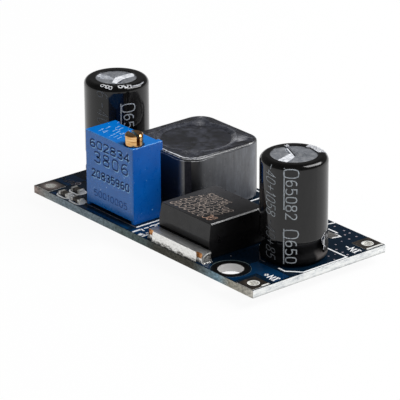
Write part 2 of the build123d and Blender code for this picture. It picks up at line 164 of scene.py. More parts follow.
class Look(Graph):
    """One material, with the record's slot of the pieces that wear it."""

    def __init__(self, name, slot=None, roughness=0.5, metallic=0.0, specular=0.5):
        self.material = bpy.data.materials.new(name)
        super().__init__(self.material)
        self.slot = slot
        LOOKS[name] = self
        self.shader = self.add("BsdfPrincipled")
        self.add("OutputMaterial", self.shader.outputs[0])
        coordinates = self.add("TexCoord")
        self.place = coordinates.outputs["Object"]
        self.px, self.py, self.pz = self.parts(self.place)
        self.nx, self.ny, self.nz = self.parts(coordinates.outputs["Normal"])
        self.put("Roughness", roughness)
        self.put("Metallic", metallic)
        self.put("Specular IOR Level", specular)

    def put(self, name, value):
        self.plug(self.shader.inputs[name], value)

    def paint(self, color):
        self.put("Base Color", color)

    def noise(self, scale, detail=4.0, roughness=0.55, stretch=None, distortion=0.0):
        place = self.place
        if stretch:
            mapping = self.add("Mapping", place)
            mapping.inputs["Scale"].default_value = stretch
            place = mapping.outputs[0]
        node = self.add("TexNoise", place)
        node.inputs["Scale"].default_value = scale
        node.inputs["Detail"].default_value = detail
        node.inputs["Roughness"].default_value = roughness
        node.inputs["Distortion"].default_value = distortion
        return node.outputs["Fac"]

    def spread(self, scale, low, high):
        return self.ramp(scale, (0.3, low), (0.7, high))

    def mix(self, factor, first, second, blend="MIX"):
        node = self.add("Mix", factor, data_type="RGBA", blend_type=blend)
        self.plug(node.inputs[6], first)
        self.plug(node.inputs[7], second)
        return node.outputs[2]

    def tint(self, color, *factors):
        for factor in factors:
            color = self.mix(1.0, color, factor, "MULTIPLY")
        return color

    def above(self, value, edge, soft=0.00001):
        """0 below the edge and 1 above it."""
        node = self.add("MapRange", self.grain(value))
        node.inputs["From Min"].default_value = edge - soft
        node.inputs["From Max"].default_value = edge + soft
        return node.outputs["Result"]

    def below(self, value, edge, soft=0.00001):
        return self.sum("SUBTRACT", 1.0, self.above(value, edge, soft))

    def share(self, value, low, high):
        """0 at the low and 1 at the high place, given in millimetres."""
        return self.sum("DIVIDE", self.sum("SUBTRACT", value, low * MM), (high - low) * MM)

    def away(self, centre):
        """Offset from an upright axis, and the distance from it."""
        across = self.sum("SUBTRACT", self.px, centre[0] * MM)
        deep = self.sum("SUBTRACT", self.py, centre[1] * MM)
        squares = self.sum("ADD", self.times(across, across), self.times(deep, deep))
        return across, deep, self.sum("SQRT", squares)

    def sector(self, centre, start, end, outer):
        """1 between two angles in degrees and inside a radius round an upright axis."""
        across, deep, far = self.away(centre)
        angle = self.sum("ARCTAN2", deep, across)
        past = self.above(angle, math.radians(start), 0.06)
        before = self.below(angle, math.radians(end), 0.06)
        return self.times(self.times(past, before), self.below(far, outer * MM, 0.0002))

    def bump(self, height, strength, microns):
        node = self.add("Bump")
        self.plug(node.inputs["Height"], self.grain(height))
        node.inputs["Strength"].default_value = strength
        node.inputs["Distance"].default_value = microns * MICRON
        self.put("Normal", node.outputs[0])

    def wear(self, *solids):
        """Give solids this material."""
        for name in solids:
            thing = nodes[name]
            if not thing.material_slots:
                thing.data.materials.append(self.material)
            for slot in thing.material_slots:
                slot.material = self.material


def plain(name, slot, texture, *stops, bump=None, gloss=None, solids=(), **shader):
    """A look whose colour follows one noise. The bump follows it too, unless it has its own."""
    look = Look(name, slot, **shader)
    look.paint(look.ramp(texture, *stops))
    if gloss:
        look.put("Roughness", look.spread(*gloss))
    if bump:
        strength, microns, *other = bump
        look.bump(*(other or [texture]), strength, microns)
    look.wear(*solids)


def make_board_looks():
    # Blue solder mask on the two faces, bare laminate on the sawn edges and in the holes
    look = Look("solder_mask", specular=0.12)
    mottle = look.noise(260, 5, 0.6)
    mask = look.ramp(mottle, (0.3, (0.0018, 0.0085, 0.019)), (0.7, (0.003, 0.0125, 0.028)))
    # The long edges' tone along the board is painted light and shade: darkest under the regulator
    # tab, paler towards both ends
    cut = look.ramp(
        look.share(look.px, LEFT, RIGHT),
        (0.0, (0.42, 0.32, 0.28)), (0.06, (0.34, 0.36, 0.35)), (0.14, (0.27, 0.33, 0.37)),
        (0.32, (0.23, 0.29, 0.32)), (0.42, (0.13, 0.17, 0.165)), (0.52, (0.115, 0.15, 0.145)),
        (0.57, (0.08, 0.078, 0.065)), (0.74, (0.08, 0.075, 0.06)), (0.79, (0.17, 0.21, 0.22)),
        (0.85, (0.24, 0.38, 0.46)), (0.90, (0.40, 0.38, 0.31)), (1.0, (0.55, 0.52, 0.46)),
    )
    grit = look.ramp((1900, 5, 0.8, (1, 1, 1.6)), (0.32, 0.35), (0.5, 0.95), (0.66, 1.5))
    short_edge = look.ramp(
        (1500, 5, 0.85, (1, 0.4, 1.7)), (0.30, (0.28, 0.31, 0.36)), (0.41, (0.60, 0.62, 0.63)),
        (0.52, (0.80, 0.81, 0.80)), (0.75, (0.93, 0.93, 0.90)),
    )
    # The lowest 0.16 mm of the end faces is darker: painted shade
    over_rim = look.above(look.pz, (UNDER + 0.16) * MM, 0.00008)
    short_edge = look.mix(over_rim, look.tint(short_edge, (0.7, 0.7, 0.69)), short_edge)
    on_end = look.above(look.sum("ABSOLUTE", look.nx), 0.9, 0.05)
    on_edge = look.below(look.sum("ABSOLUTE", look.nz), 0.5, 0.1)
    edge = look.mix(on_end, look.tint(cut, grit), short_edge)
    # The mounting holes' walls are pale laminate lifted to near white: partly painted light
    paper = look.ramp((5200, 3, 0.7), (0.27, (0.35, 0.25, 0.22)), (0.36, (0.93, 0.91, 0.89)))
    for place in MOUNT_HOLES:
        edge = look.mix(look.below(look.away(place)[2], 0.00175), edge, paper)
    look.paint(look.mix(on_edge, mask, edge))
    look.put("Roughness", look.ramp(on_edge, (0.0, 0.15), (1.0, 0.8)))
    fibre = look.noise(900, 6, 0.7, (1, 1, 5))
    look.bump(look.sum("ADD", look.times(fibre, 0.6), mottle), 0.15, 30)
    look.wear("board")

    board = "board_laminate"
    plain("mask_over_copper", board, (420, 5, 0.6),
          (0.3, (0.0015, 0.019, 0.056)), (0.7, (0.0022, 0.031, 0.088)),
          bump=(0.15, 20, (2400, 3)), roughness=0.13, specular=0.14)
    plain("bare_ring", board, 1500, (0.3, (0.0025, 0.0028, 0.004)), (0.7, (0.009, 0.008, 0.007)),
          bump=(0.3, 20, 6000), roughness=0.45, specular=0.15)
    plain("ring_edge", board, 1800, (0.3, (0.07, 0.11, 0.12)), (0.7, (0.18, 0.22, 0.2)))
    plain("via_tin", board, 1800, (0.3, (0.16, 0.14, 0.17)), (0.7, (0.42, 0.38, 0.42)),
          roughness=0.4)
    # Dim silk: painted shade on lines that lie in shadow, and faint print at the output end
    plain("shaded_and_faint_silk", board, (2600, 4, 0.7), (0.35, (0.02, 0.02, 0.024)),
          (0.7, (0.13, 0.12, 0.14)), roughness=0.6, specular=0.2)
    plain("silk_ink", board, (5200, 3, 0.7), (0.3, (0.66, 0.68, 0.70)),
          (0.45, (0.92, 0.93, 0.94)), bump=(0.3, 10), roughness=0.6, specular=0.3)


def make_metal_looks():
    # Lands: stained faces, barrels painted near white as painted light, and a painted highlight
    # round the output ends' holes
    look = Look("dull_land", specular=0.6)
    stain = look.noise(900, 5, 0.7)
    flat = look.ramp(stain, (0.3, (0.006, 0.005, 0.005)), (0.55, (0.022, 0.017, 0.013)),
                     (0.75, (0.09, 0.07, 0.055)))
    # Barrels near white: painted light
    barrel = look.ramp((3400, 4, 0.7), (0.3, (0.45, 0.43, 0.36)), (0.5, (0.95, 0.94, 0.9)))
    # Painted highlight round the output ends' holes
    glow_reach = 0.0019
    for name in ("land_out_pos", "land_out_neg"):
        far = look.away(middle(name))[2]
        hole_painted_highlight = look.ramp(
            look.sum("DIVIDE", far, glow_reach), (0.25, (0.55, 0.50, 0.47)),
            (0.5, (0.16, 0.13, 0.12)), (0.8, (0.045, 0.035, 0.03)), (1.0, (0.02, 0.016, 0.014)),
        )
        beside = look.above(look.sum("SUBTRACT", glow_reach, far), 0.0, 0.0004)
        flat = look.mix(beside, flat, hole_painted_highlight)
    in_bore = look.below(look.sum("ABSOLUTE", look.nz), 0.5, 0.1)
    look.paint(look.mix(in_bore, flat, barrel))
    look.put("Roughness", look.ramp(stain, (0.3, 0.42), (0.7, 0.25)))
    look.bump(stain, 0.3, 40)
    look.wear("land_in_pos", "land_in_neg", "land_out_pos", "land_out_neg")

    metal = "tinned_metal"
    # Near-white tin that paints highlights
    plain("bright_tin", metal, (4200, 4, 0.8), (0.33, (0.30, 0.28, 0.22)),
          (0.46, (0.86, 0.86, 0.83)), bump=(0.4, 40, 3200), roughness=0.35)

    look = Look("solder", metal, metallic=1.0)
    pits = look.noise(3600, 4, 0.8, (0.6, 1, 1.6))
    look.paint(look.ramp(pits, (0.30, (0.10, 0.09, 0.08)), (0.42, (0.5, 0.49, 0.47)),
                         (0.7, (0.78, 0.77, 0.74))))
    look.put("Roughness", look.spread(3000, 0.22, 0.42))
    look.bump(look.sum("ADD", look.noise(1600, 4, 0.6), pits), 0.6, 70)
    look.wear("input_solder_pos", "input_solder_neg", "output_solder_pos", "output_solder_neg",
              *[f"trimmer_solder_{number}" for number in (1, 2, 3)])

    # Solder along the tab's front: white above a ragged line, pitted and painted dark as shade
    # under it
    look = Look("tab_solder", metal, metallic=0.9, roughness=0.4)
    pits = look.noise(3400, 4, 0.85, (0.6, 1, 1.6))
    white = look.ramp(pits, (0.30, (0.3, 0.29, 0.27)), (0.42, (0.85, 0.84, 0.81)),
                      (0.6, (1.0, 0.99, 0.96)))
    dark = look.ramp(pits, (0.38, (0.03, 0.028, 0.025)), (0.5, (0.25, 0.24, 0.22)),
                     (0.6, (0.9, 0.9, 0.88)))
    ragged = look.sum("ADD", look.pz, look.times(look.noise(1300, 3, 0.7), 0.0011))
    look.paint(look.mix(look.above(ragged, (TOP + 0.83) * MM, 0.00012), dark, white))
    look.bump(pits, 0.6, 70)

    plain("tinned_lead", metal, (1300, 4, 0.6, (1, 1, 0.2)), (0.3, (0.48, 0.48, 0.47)),
          (0.7, (0.75, 0.75, 0.74)), gloss=(2600, 0.25, 0.45), bump=(0.25, 30), metallic=1.0,
          solids=("input_lead_pos", "input_lead_neg", "output_lead_pos", "output_lead_neg",
                  "trimmer_pin_1", "trimmer_pin_2", "trimmer_pin_3", "regulator_lead_1",
                  "regulator_lead_2", "regulator_lead_4", "regulator_lead_5",
                  "diode_strip_anode", "diode_strip_cathode",
                  "inductor_clip_in", "inductor_clip_out"))

    # Tab: tinned, with bare copper in the sheared corners
    look = Look("tinned_tab")
    tab_low, _ = box("regulator_tab")
    cloud = look.noise(700, 5, 0.65, (1, 2.5, 1))
    tin = look.ramp(cloud, (0.25, 0.36), (0.6, (0.6, 0.6, 0.59)), (0.8, (0.8, 0.8, 0.78)))
    copper = look.ramp(1900, (0.3, (0.06, 0.02, 0.005)), (0.5, (0.36, 0.13, 0.03)),
                       (0.7, (0.8, 0.45, 0.2)))
    sheared = look.ramp((3600, 4, 0.8), (0.34, (0.55, 0.54, 0.5)), (0.48, (0.95, 0.94, 0.91)))
    forward = look.times(look.ny, -1.0)
    tin = look.mix(look.above(forward, 0.7, 0.1), tin, sheared)
    near_front = look.below(look.py, (tab_low.y + 0.8) * MM, 0.0007)
    near_front = look.times(near_front, look.above(look.nz, 0.7, 0.2))
    drawn = look.ramp((1500, 4, 0.7, (0.25, 2.5, 1)), (0.35, 0.20), (0.62, (0.50, 0.50, 0.49)))
    tin = look.mix(near_front, tin, drawn)
    look.put("Metallic", look.sum("SUBTRACT", 0.85, look.times(near_front, 0.6)))
    in_notch = look.times(look.above(look.py, (tab_low.y + 0.1) * MM),
                          look.above(look.pz, (tab_low.z + 0.5) * MM, 0.0002))
    bare = look.above(look.times(forward, in_notch), 0.7, 0.1)
    look.paint(look.mix(bare, tin, copper))
    look.put("Roughness", look.spread(2200, 0.3, 0.5))
    look.bump(cloud, 0.3, 50)
    look.wear("regulator_tab")


def make_capacitor_looks():
    film = "black_film"
    look = Look("capacitor_film", film, specular=0.42)
    look.paint(look.ramp((1500, 6, 0.7, (1, 1, 0.35)), (0.35, (0.0022, 0.0022, 0.0024)),
                         (0.7, (0.006, 0.0055, 0.0055))))
    gloss = look.ramp((600, 3), (0.3, 0.07), (0.7, 0.13))
    look.put("Roughness", look.mix(look.above(look.pz, 5.3 * MM, 0.0003), 0.5, gloss))
    look.bump((420, 4, 0.5, (1, 1, 0.5)), 0.25, 50)
    look.wear("input_film", "output_film")

    # Foot of the input film: a dull near-black layer as painted shade, lighter towards its top in
    # front and with a gleam on its right flank, both painted light
    look = Look("film_foot", film, roughness=0.65, specular=0.06)
    centre = middle("input_film")
    shade_black = look.ramp((1500, 5, 0.7), (0.35, (0.0012, 0.0012, 0.0016)),
                     (0.7, (0.005, 0.005, 0.006)))
    # Lighter towards the top in front: painted light
    rise = look.ramp(look.sum("SUBTRACT", look.times(look.pz, 1000), 4.3),
                     (0.25, 0.0), (0.6, (0.010, 0.010, 0.011)), (0.95, (0.046, 0.045, 0.047)))
    lit = look.mix(look.sector(centre, -74, 30, 9), 0.0, rise)
    # A gleam on the right flank: painted highlight
    band = look.ramp(look.times(look.sum("SUBTRACT", look.pz, 0.0025), 500),
                     (0.1, 0.0), (0.35, 1.0), (0.55, 0.5), (0.75, 0.0))
    flank_painted_highlight = look.times(look.sector(centre, 2, 46, 9), band)
    look.paint(look.mix(flank_painted_highlight, look.mix(1.0, shade_black, lit, "ADD"), (0.085, 0.078, 0.076)))
    look.bump((900, 4, 0.6), 0.3, 50)

    # Pale film that paints a highlight
    plain("painted_film_sheen", film, (1500, 4, 0.7), (0.35, (0.22, 0.23, 0.25)),
          (0.6, (0.42, 0.43, 0.46)), roughness=0.4)
    for name, low, high in (
        ("shoulder_print", (0.30, 0.31, 0.33), (0.72, 0.73, 0.75)),
        ("film_print", (0.17, 0.19, 0.21), (0.42, 0.45, 0.48)),
        ("faint_print", (0.03, 0.033, 0.036), (0.14, 0.15, 0.165)),
    ):
        plain(name, film, (2600, 4, 0.7), (0.3, low), (0.6, high), specular=0.3)
    # Pale stretched film, also worn by a painted reflection on the far side of the shoulder
    plain("pale_film_and_painted_glare", film, (1700, 5, 0.8, (1, 1, 0.45), 1.5),
          (0.38, (0.02, 0.02, 0.024)), (0.46, (0.45, 0.46, 0.5)), (0.62, (0.85, 0.86, 0.88)),
          bump=(0.7, 100), roughness=0.2)
    plain("rubber_seal", None, 2000, (0.3, 0.012), (0.7, 0.03), bump=(0.3, 30, 5000),
          roughness=0.75, specular=0.3, solids=("input_seal", "output_seal"))

    # Can: mottled aluminium, with one dull sector in the output can's top
    look = Look("can_top")
    mottle = look.noise(1400, 6, 0.75)
    look.paint(look.ramp(mottle, (0.3, (0.34, 0.37, 0.42)), (0.5, (0.60, 0.63, 0.69)),
                         (0.72, (0.95, 0.97, 1.0))))
    look.put("Roughness", look.spread(900, 0.22, 0.38))
    dull = look.times(look.sector(middle("output_can"), -168, -138, 2.9), 0.5)
    dull = look.times(dull, look.ramp((2200, 5, 0.7), (0.3, 0.45), (0.55, 1.0)))
    look.put("Metallic", look.sum("SUBTRACT", 0.78, look.times(dull, 0.78)))
    look.bump(mottle, 0.45, 50)
    look.wear("input_can", "output_can")
    plain("vent_painted_highlight", "can_aluminium", (1900, 5, 0.75), (0.32, (0.30, 0.32, 0.35)),
          (0.46, (0.62, 0.64, 0.68)), (0.62, (0.95, 0.96, 1.0)), bump=(0.4, 40))


def make_inductor_looks():
    # Ferrite: dark, with streaked dust on the input face and smudged dust on top; the input face is
    # also painted lighter than the others and brighter towards the back, as painted light
    look = Look("ferrite", "ferrite")
    look.put("IOR", 2.0)
    low, high = box("inductor_shield")
    grit = look.noise(2600, 6, 0.75)
    tone = look.noise(260, 4, 0.6)
    body = look.mix(
        look.ramp(tone, (0.3, 0.0), (0.7, 1.0)),
        look.ramp(grit, (0.3, (0.003, 0.0032, 0.0042)), (0.7, (0.008, 0.0083, 0.011))),
        look.ramp(grit, (0.3, (0.005, 0.0053, 0.0065)), (0.7, (0.012, 0.0124, 0.015))),
    )
    side_dust_and_painted_light = look.tint(
        look.ramp((900, 5, 0.7), (0.3, (0.036, 0.040, 0.050)), (0.7, (0.060, 0.065, 0.078))),
        look.ramp(look.share(look.py, low.y, high.y),
                  (0.12, 0.35), (0.3, 0.75), (0.6, 1.1), (0.82, 1.4), (0.9, 2.3)),
        look.ramp((2600, 5, 0.75, (1, 1, 0.14)), (0.36, 0.6), (0.5, 1.0), (0.64, 1.5)),
        look.ramp((2300, 3, 0.6), (0.27, 0.15), (0.36, 1.0)),
    )
    top_dust = look.tint(
        look.ramp((330, 5, 0.65), (0.38, (0.007, 0.0075, 0.012)), (0.62, (0.029, 0.031, 0.042))),
        look.ramp((900, 6, 0.8), (0.42, 0.25), (0.5, 1.0), (0.58, 1.8)),
    )
    toward_input = look.above(look.nx, 0.88, 0.1)
    body = look.mix(toward_input, body, side_dust_and_painted_light)
    body = look.mix(look.above(look.nz, 0.7, 0.2), body, top_dust)
    look.paint(look.mix(look.above((3300, 2, 0.5), 0.70, 0.02), body, (0.09, 0.09, 0.10)))
    look.put("Roughness", look.mix(toward_input, look.spread(1200, 0.28, 0.38), 0.42))
    look.bump(look.sum("ADD", look.times(grit, 0.35), tone), 0.3, 30)
    look.wear("inductor_shield", "inductor_core")
    # Matt dark ferrite for painted shade
    plain("matt_ferrite_shade", "ferrite", (2600, 6, 0.75), (0.3, (0.012, 0.012, 0.018)),
          (0.7, (0.030, 0.030, 0.040)), bump=(0.3, 30), roughness=0.55, specular=0.15)

    # Glue: painted highlights in two corners and on an arc on the input side
    look = Look("coil_glue", "grey_glue")
    lump = look.noise(1500, 5, 0.6)
    resin = look.ramp(lump, (0.3, (0.018, 0.019, 0.026)), (0.7, (0.068, 0.072, 0.088)))
    corner_highlight_grain = look.ramp((1100, 4, 0.6), (0.36, 0.2), (0.6, 1.0))
    for place, reach, tone in (((-1.76, 6.95), 0.0008, 0.38), ((-9.5, 6.85), 0.00045, 0.26)):
        near = look.below(look.away(place)[2], reach, 0.00045)
        resin = look.mix(look.times(near, corner_highlight_grain), resin, (tone, tone, tone * 1.06))
    arc = look.sector(middle("inductor_shield"), -30, 62, 5.05)
    bright = look.times(arc, look.ramp(lump, (0.35, 0.0), (0.6, 0.7)))
    look.paint(look.mix(bright, resin, (0.26, 0.26, 0.28)))
    look.put("Roughness", look.spread(2200, 0.15, 0.35))
    look.bump(lump, 0.5, 80)
    look.wear("inductor_glue", "trimmer_potting")

    # Chipped rim: light in its near half, partly chips and partly painted highlight
    look = Look("chipped_rim_and_highlight", "grey_glue", roughness=0.8, specular=0.1)
    crumb = look.noise(2600, 4, 0.7)
    chips = look.ramp(crumb, (0.30, (0.05, 0.05, 0.055)), (0.42, (0.30, 0.30, 0.31)),
                      (0.56, (0.72, 0.73, 0.75)))
    near_half = look.below(look.py, (low.y + 3.6) * MM, 0.0026)
    look.paint(look.mix(near_half, (0.012, 0.012, 0.015), chips))
    look.bump(crumb, 0.7, 80)

    look = Look("enamelled_wire", metallic=0.7, roughness=0.35)
    turns = look.add("TexWave", look.place, 900, bands_direction="Z").outputs["Fac"]
    look.paint(look.ramp(turns, (0.2, (0.12, 0.04, 0.015)), (0.8, (0.6, 0.27, 0.12))))
    look.bump(turns, 0.8, 100)
    look.wear("inductor_winding")

    plain("base_plastic", None, 1800, (0.3, 0.01), (0.7, 0.02), bump=(0.3, 20, 4000),
          roughness=0.6, solids=("inductor_base", "diode_block"))


def make_regulator_looks():
    # Package: sandy, with dust on top; the top is painted lighter towards the output end and darker
    # towards the input end, as painted light and shade
    look = Look("moulded_epoxy", specular=0.4)
    low, high = box("regulator_package")
    sand = look.noise(5200, 4, 0.75)
    moulded = look.ramp(sand, (0.3, (0.0025, 0.0024, 0.0028)), (0.7, (0.0075, 0.007, 0.0078)))
    dusty = look.ramp(sand, (0.3, (0.008, 0.008, 0.009)), (0.7, (0.022, 0.021, 0.022)))
    painted_top_gradient = look.ramp(look.share(look.px, low.x, high.x), (0.05, (0.030, 0.030, 0.032)),
                     (0.5, (0.012, 0.012, 0.013)), (0.85, 0.0))
    dusty = look.mix(1.0, dusty, painted_top_gradient, "ADD")
    look.paint(look.mix(look.above(look.nz, 0.7, 0.2), moulded, dusty))
    look.put("Roughness", look.spread(900, 0.26, 0.4))
    look.bump(sand, 0.5, 30)
    look.wear("regulator_package")

    moulding = "black_moulding"
    plain("laser_mark", moulding, (4200, 3, 0.7), (0.32, (0.04, 0.033, 0.03)),
          (0.58, (0.46, 0.38, 0.33)), roughness=0.7, specular=0.2)
    plain("warm_mark", moulding, (4200, 3, 0.7), (0.3, (0.20, 0.11, 0.07)),
          (0.62, (0.75, 0.5, 0.38)), roughness=0.7, specular=0.2)
    # Near-black for painted shadow lines
    plain("painted_shadow_black", moulding, 3000, (0.3, 0.001), (0.7, 0.004),
          bump=(0.4, 30, 5000), roughness=0.9, specular=0.05)
    # Pale gloss that paints an edge highlight
    plain("painted_edge_highlight", moulding, (2400, 4, 0.7), (0.3, (0.45, 0.45, 0.46)), (0.55, 0.92),
          roughness=0.18)


def make_trimmer_looks():
    # Case: its top, sides and front painted in lighter and darker blues as painted light and shade,
    # with paler rims as painted highlights, and flecks
    look = Look("blue_plastic")
    low, high = box("trimmer_case")
    cloud = look.noise(500, 5, 0.6)
    # Sides, lid and front: lit and shaded copies of one blue
    sides = look.ramp(cloud, (0.3, (0.0004, 0.083, 0.38)), (0.7, (0.001, 0.107, 0.45)))
    lid = look.ramp(cloud, (0.3, (0.0003, 0.148, 0.54)), (0.7, (0.0006, 0.182, 0.64)))
    front = look.ramp(cloud, (0.3, (0.0006, 0.104, 0.39)), (0.7, (0.0012, 0.132, 0.465)))
    flat = look.above(look.nz, 0.5, 0.1)
    blue = look.mix(look.above(look.times(look.ny, -1.0), 0.5, 0.1), sides, front)
    blue = look.mix(flat, blue, lid)
    # Painted highlights along the top edges
    rim_soft = 0.00003
    top_rim = look.above(look.pz, (high.z - 0.07) * MM, rim_soft)
    side_rim = look.sum("MAXIMUM", look.above(look.px, (high.x - 0.11) * MM, rim_soft),
                        look.below(look.py, (low.y + 0.08) * MM, rim_soft))
    rim = look.mix(flat, top_rim, look.times(side_rim, flat))
    rim = look.tint(rim, look.ramp((2600, 4, 0.7), (0.35, 0.0), (0.6, 0.55)))
    blue = look.mix(rim, blue, (0.20, 0.47, 0.80))
    look.paint(look.mix(look.above((2900, 2, 0.5), 0.745, 0.01), blue, (0.4, 0.6, 0.85)))
    look.put("Roughness", look.mix(flat, look.spread(1500, 0.24, 0.38), 0.14))
    look.bump((3800, 4, 0.6), 0.3, 20)
    look.wear("trimmer_case")

    case = "blue_case"
    # Dark blue for painted shade in hollows
    plain("engraved_painted_shade", case, 3000, (0.3, (0.003, 0.018, 0.085)), (0.7, (0.008, 0.042, 0.17)),
          roughness=0.6, specular=0.2)
    plain("faint_engraved_blue", case, 3000, (0.3, (0.002, 0.035, 0.18)),
          (0.7, (0.006, 0.07, 0.28)), specular=0.2)
    # Light blue for painted highlights on edges
    plain("relief_painted_highlight", case, 3000, (0.3, (0.16, 0.40, 0.72)), (0.7, (0.32, 0.56, 0.85)))
    plain("white_relief", case, 3000, (0.35, (0.10, 0.34, 0.72)), (0.6, (0.48, 0.72, 0.92)))
    plain("turned_brass", None, (2200, 5, 0.6, (0.3, 0.3, 3)),
          (0.28, (0.18, 0.07, 0.02)), (0.45, (0.62, 0.33, 0.12)),
          (0.62, (0.8, 0.5, 0.22)), (0.8, (0.95, 0.72, 0.42)),
          gloss=(1800, 0.12, 0.3), bump=(0.4, 40), metallic=1.0, solids=("trimmer_screw",))

    plain("chip_ceramic", None, 2500, (0.3, (0.02, 0.017, 0.016)), (0.7, (0.10, 0.085, 0.07)),
          bump=(0.3, 20, 5000), solids=[f"chip_{spot}_block" for spot in CHIPS])
    plain("chip_cap", None, 2500, (0.3, (0.35, 0.34, 0.31)), (0.6, (0.8, 0.79, 0.75)),
          bump=(0.5, 40, 3500), metallic=0.6, roughness=0.4,
          solids=[f"chip_{spot}_cap_{side}" for spot in CHIPS for _, side in ENDS])


# Meshes

def piece(name, vertices, faces, look, smooth=False, slot=None):
    """A piece made from millimetre vertices, riding on the module."""
    look = LOOKS[look]
    mesh = bpy.data.meshes.new(name)
    mesh.from_pydata([Vector(v) * MM for v in vertices], [], faces)
    mesh.validate()
    tidy = bmesh.new()
    tidy.from_mesh(mesh)
    bmesh.ops.recalc_face_normals(tidy, faces=tidy.faces)
    tidy.to_mesh(mesh)
    tidy.free()
    mesh.materials.append(look.material)
    if smooth:
        mesh.polygons.foreach_set("use_smooth", [True] * len(mesh.polygons))
    thing = bpy.data.objects.new(name, mesh)
    bpy.context.scene.collection.objects.link(thing)
    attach(thing, BODY)


INK_LOW = TOP + 0.002
INK_HIGH = TOP + 0.05
STROKE = 0.2


class Sheet:
    """Collects shapes that become one piece."""

    def __init__(self):
        self.vertices = []
        self.faces = []

    def prism(self, outline, low, high):
        """Upright prism over a simple outline."""
        start = len(self.vertices)
        count = len(outline)
        self.vertices += [(x, y, z) for z in (low, high) for x, y in outline]
        self.faces.append(tuple(range(start + count, start + 2 * count)))
        self.faces.append(tuple(range(start + count - 1, start - 1, -1)))
        for i in range(count):
            j = (i + 1) % count
            self.faces.append((start + i, start + j, start + count + j, start + count + i))

    def stroke(self, points, width, low, high, closed=False):
        """A line of constant width through points, mitred at its corners."""
        points = [Vector(p) for p in points]
        count = len(points)
        sides = []
        for i, point in enumerate(points):
            first = (point - points[i - 1]).normalized() if closed or i else None
            if closed or i < count - 1:
                second = (points[(i + 1) % count] - point).normalized()
            else:
                second = first
            first = second if first is None else first
            tangent = (first + second).normalized()
            across = Vector((-tangent.y, tangent.x))
            stretch = max(0.5, abs(across.dot(Vector((-first.y, first.x)))))
            offset = across * width / 2 / stretch
            sides.append((tuple(point + offset), tuple(point - offset)))
        for i in range(count if closed else count - 1):
            (a, b), (c, d) = sides[i], sides[(i + 1) % count]
            self.prism([a, b, d, c], low, high)

    def ink(self, points, width=STROKE, closed=False):
        self.stroke(points, width, INK_LOW, INK_HIGH, closed)

    def add(self, vertices, faces):
        start = len(self.vertices)
        self.vertices += [tuple(v) for v in vertices]
        self.faces += [tuple(start + i for i in face) for face in faces]

    def fill(self, outlines, thickness, low):
        """A flat filled shape; outlines inside others are holes."""
        data = bpy.data.curves.new("shape", "CURVE")
        data.dimensions = "2D"
        data.fill_mode = "BOTH"
        data.extrude = thickness / 2
        for points in outlines:
            spline = data.splines.new("POLY")
            spline.points.add(len(points) - 1)
            for target, (x, y) in zip(spline.points, points):
                target.co = (x, y, 0, 1)
            spline.use_cyclic_u = True
        thing = bpy.data.objects.new("shape", data)
        mesh = bpy.data.meshes.new_from_object(thing)
        self.add(
            [(v.co.x, v.co.y, v.co.z + thickness / 2 + low) for v in mesh.vertices],
            [tuple(p.vertices) for p in mesh.polygons],
        )
        bpy.data.objects.remove(thing)
        bpy.data.curves.remove(data)
        bpy.data.meshes.remove(mesh)

    def lay(self, shape, origin, upward):
        """Lay flat lettering that reads along +X on a plane with this upward direction."""
        vertices, faces = shape
        origin, along, upward = Vector(origin), Vector((1, 0, 0)), Vector(upward)
        out = along.cross(upward)
        self.add([origin + along * v.x + upward * v.y + out * v.z for v in vertices], faces)

    def bead(self, points, radius, sides=8):
        """A rounded bead along points, thin at both ends."""
        points = [Vector(p) for p in points]
        start, last = len(self.vertices), len(points) - 1
        for i, point in enumerate(points):
            along = (points[min(i + 1, last)] - points[max(i - 1, 0)]).normalized()
            across = along.cross(Vector((1, 0, 0.3))).normalized()
            over = across.cross(along)
            local = radius * (0.35 if i in (0, last) else 1.0)
            for k in range(sides):
                angle = math.tau * k / sides
                offset = across * math.cos(angle) + over * math.sin(angle)
                self.vertices.append(tuple(point + offset * local))
        for i in range(last):
            for k in range(sides):
                a, b = start + i * sides + k, start + i * sides + (k + 1) % sides
                self.faces.append((a, b, b + sides, a + sides))
        for end in (start, start + last * sides):
            self.faces.append(tuple(range(end, end + sides)))

    def make(self, name, look, **options):
        piece(name, self.vertices, self.faces, look, **options)


def grid(columns, rows, closed=False):
    """Quads between vertices that were made column by column, rows + 1 to a column."""
    step = rows + 1
    faces = []
    for i in range(columns):
        for a in range(i * step, i * step + rows):
            b = (a + step) % (columns * step) if closed else a + step
            faces.append((a, a + 1, b + 1, b))
    return faces


def circle(x, y, radius, count=48, start=0.0, sweep=math.tau):
    """Points on a circle or an arc."""
    steps = count if abs(sweep - math.tau) < 1e-6 else count - 1
    angles = [start + sweep * i / steps for i in range(count)]
    return [(x + radius * math.cos(angle), y + radius * math.sin(angle)) for angle in angles]


def skin(name, source, wanted, lift, look):
    """A thin layer over the faces of a solid that pass a test on their middle and normal."""
    mesh = bmesh.new()
    mesh.from_mesh(nodes[source].data)
    mesh.transform(nodes[source].matrix_world)
    bmesh.ops.remove_doubles(mesh, verts=mesh.verts, dist=1e-6)
    unwanted = [f for f in mesh.faces if not wanted(f.calc_center_median() / MM, f.normal)]
    bmesh.ops.delete(mesh, geom=unwanted, context="FACES")
    mesh.normal_update()
    mesh.verts.index_update()
    vertices = [v.co / MM + v.normal * lift for v in mesh.verts]
    faces = [tuple(v.index for v in f.verts) for f in mesh.faces]
    mesh.free()
    piece(name, vertices, faces, look, smooth=True)


# Lettering: the advance and the lines of each figure, one unit high

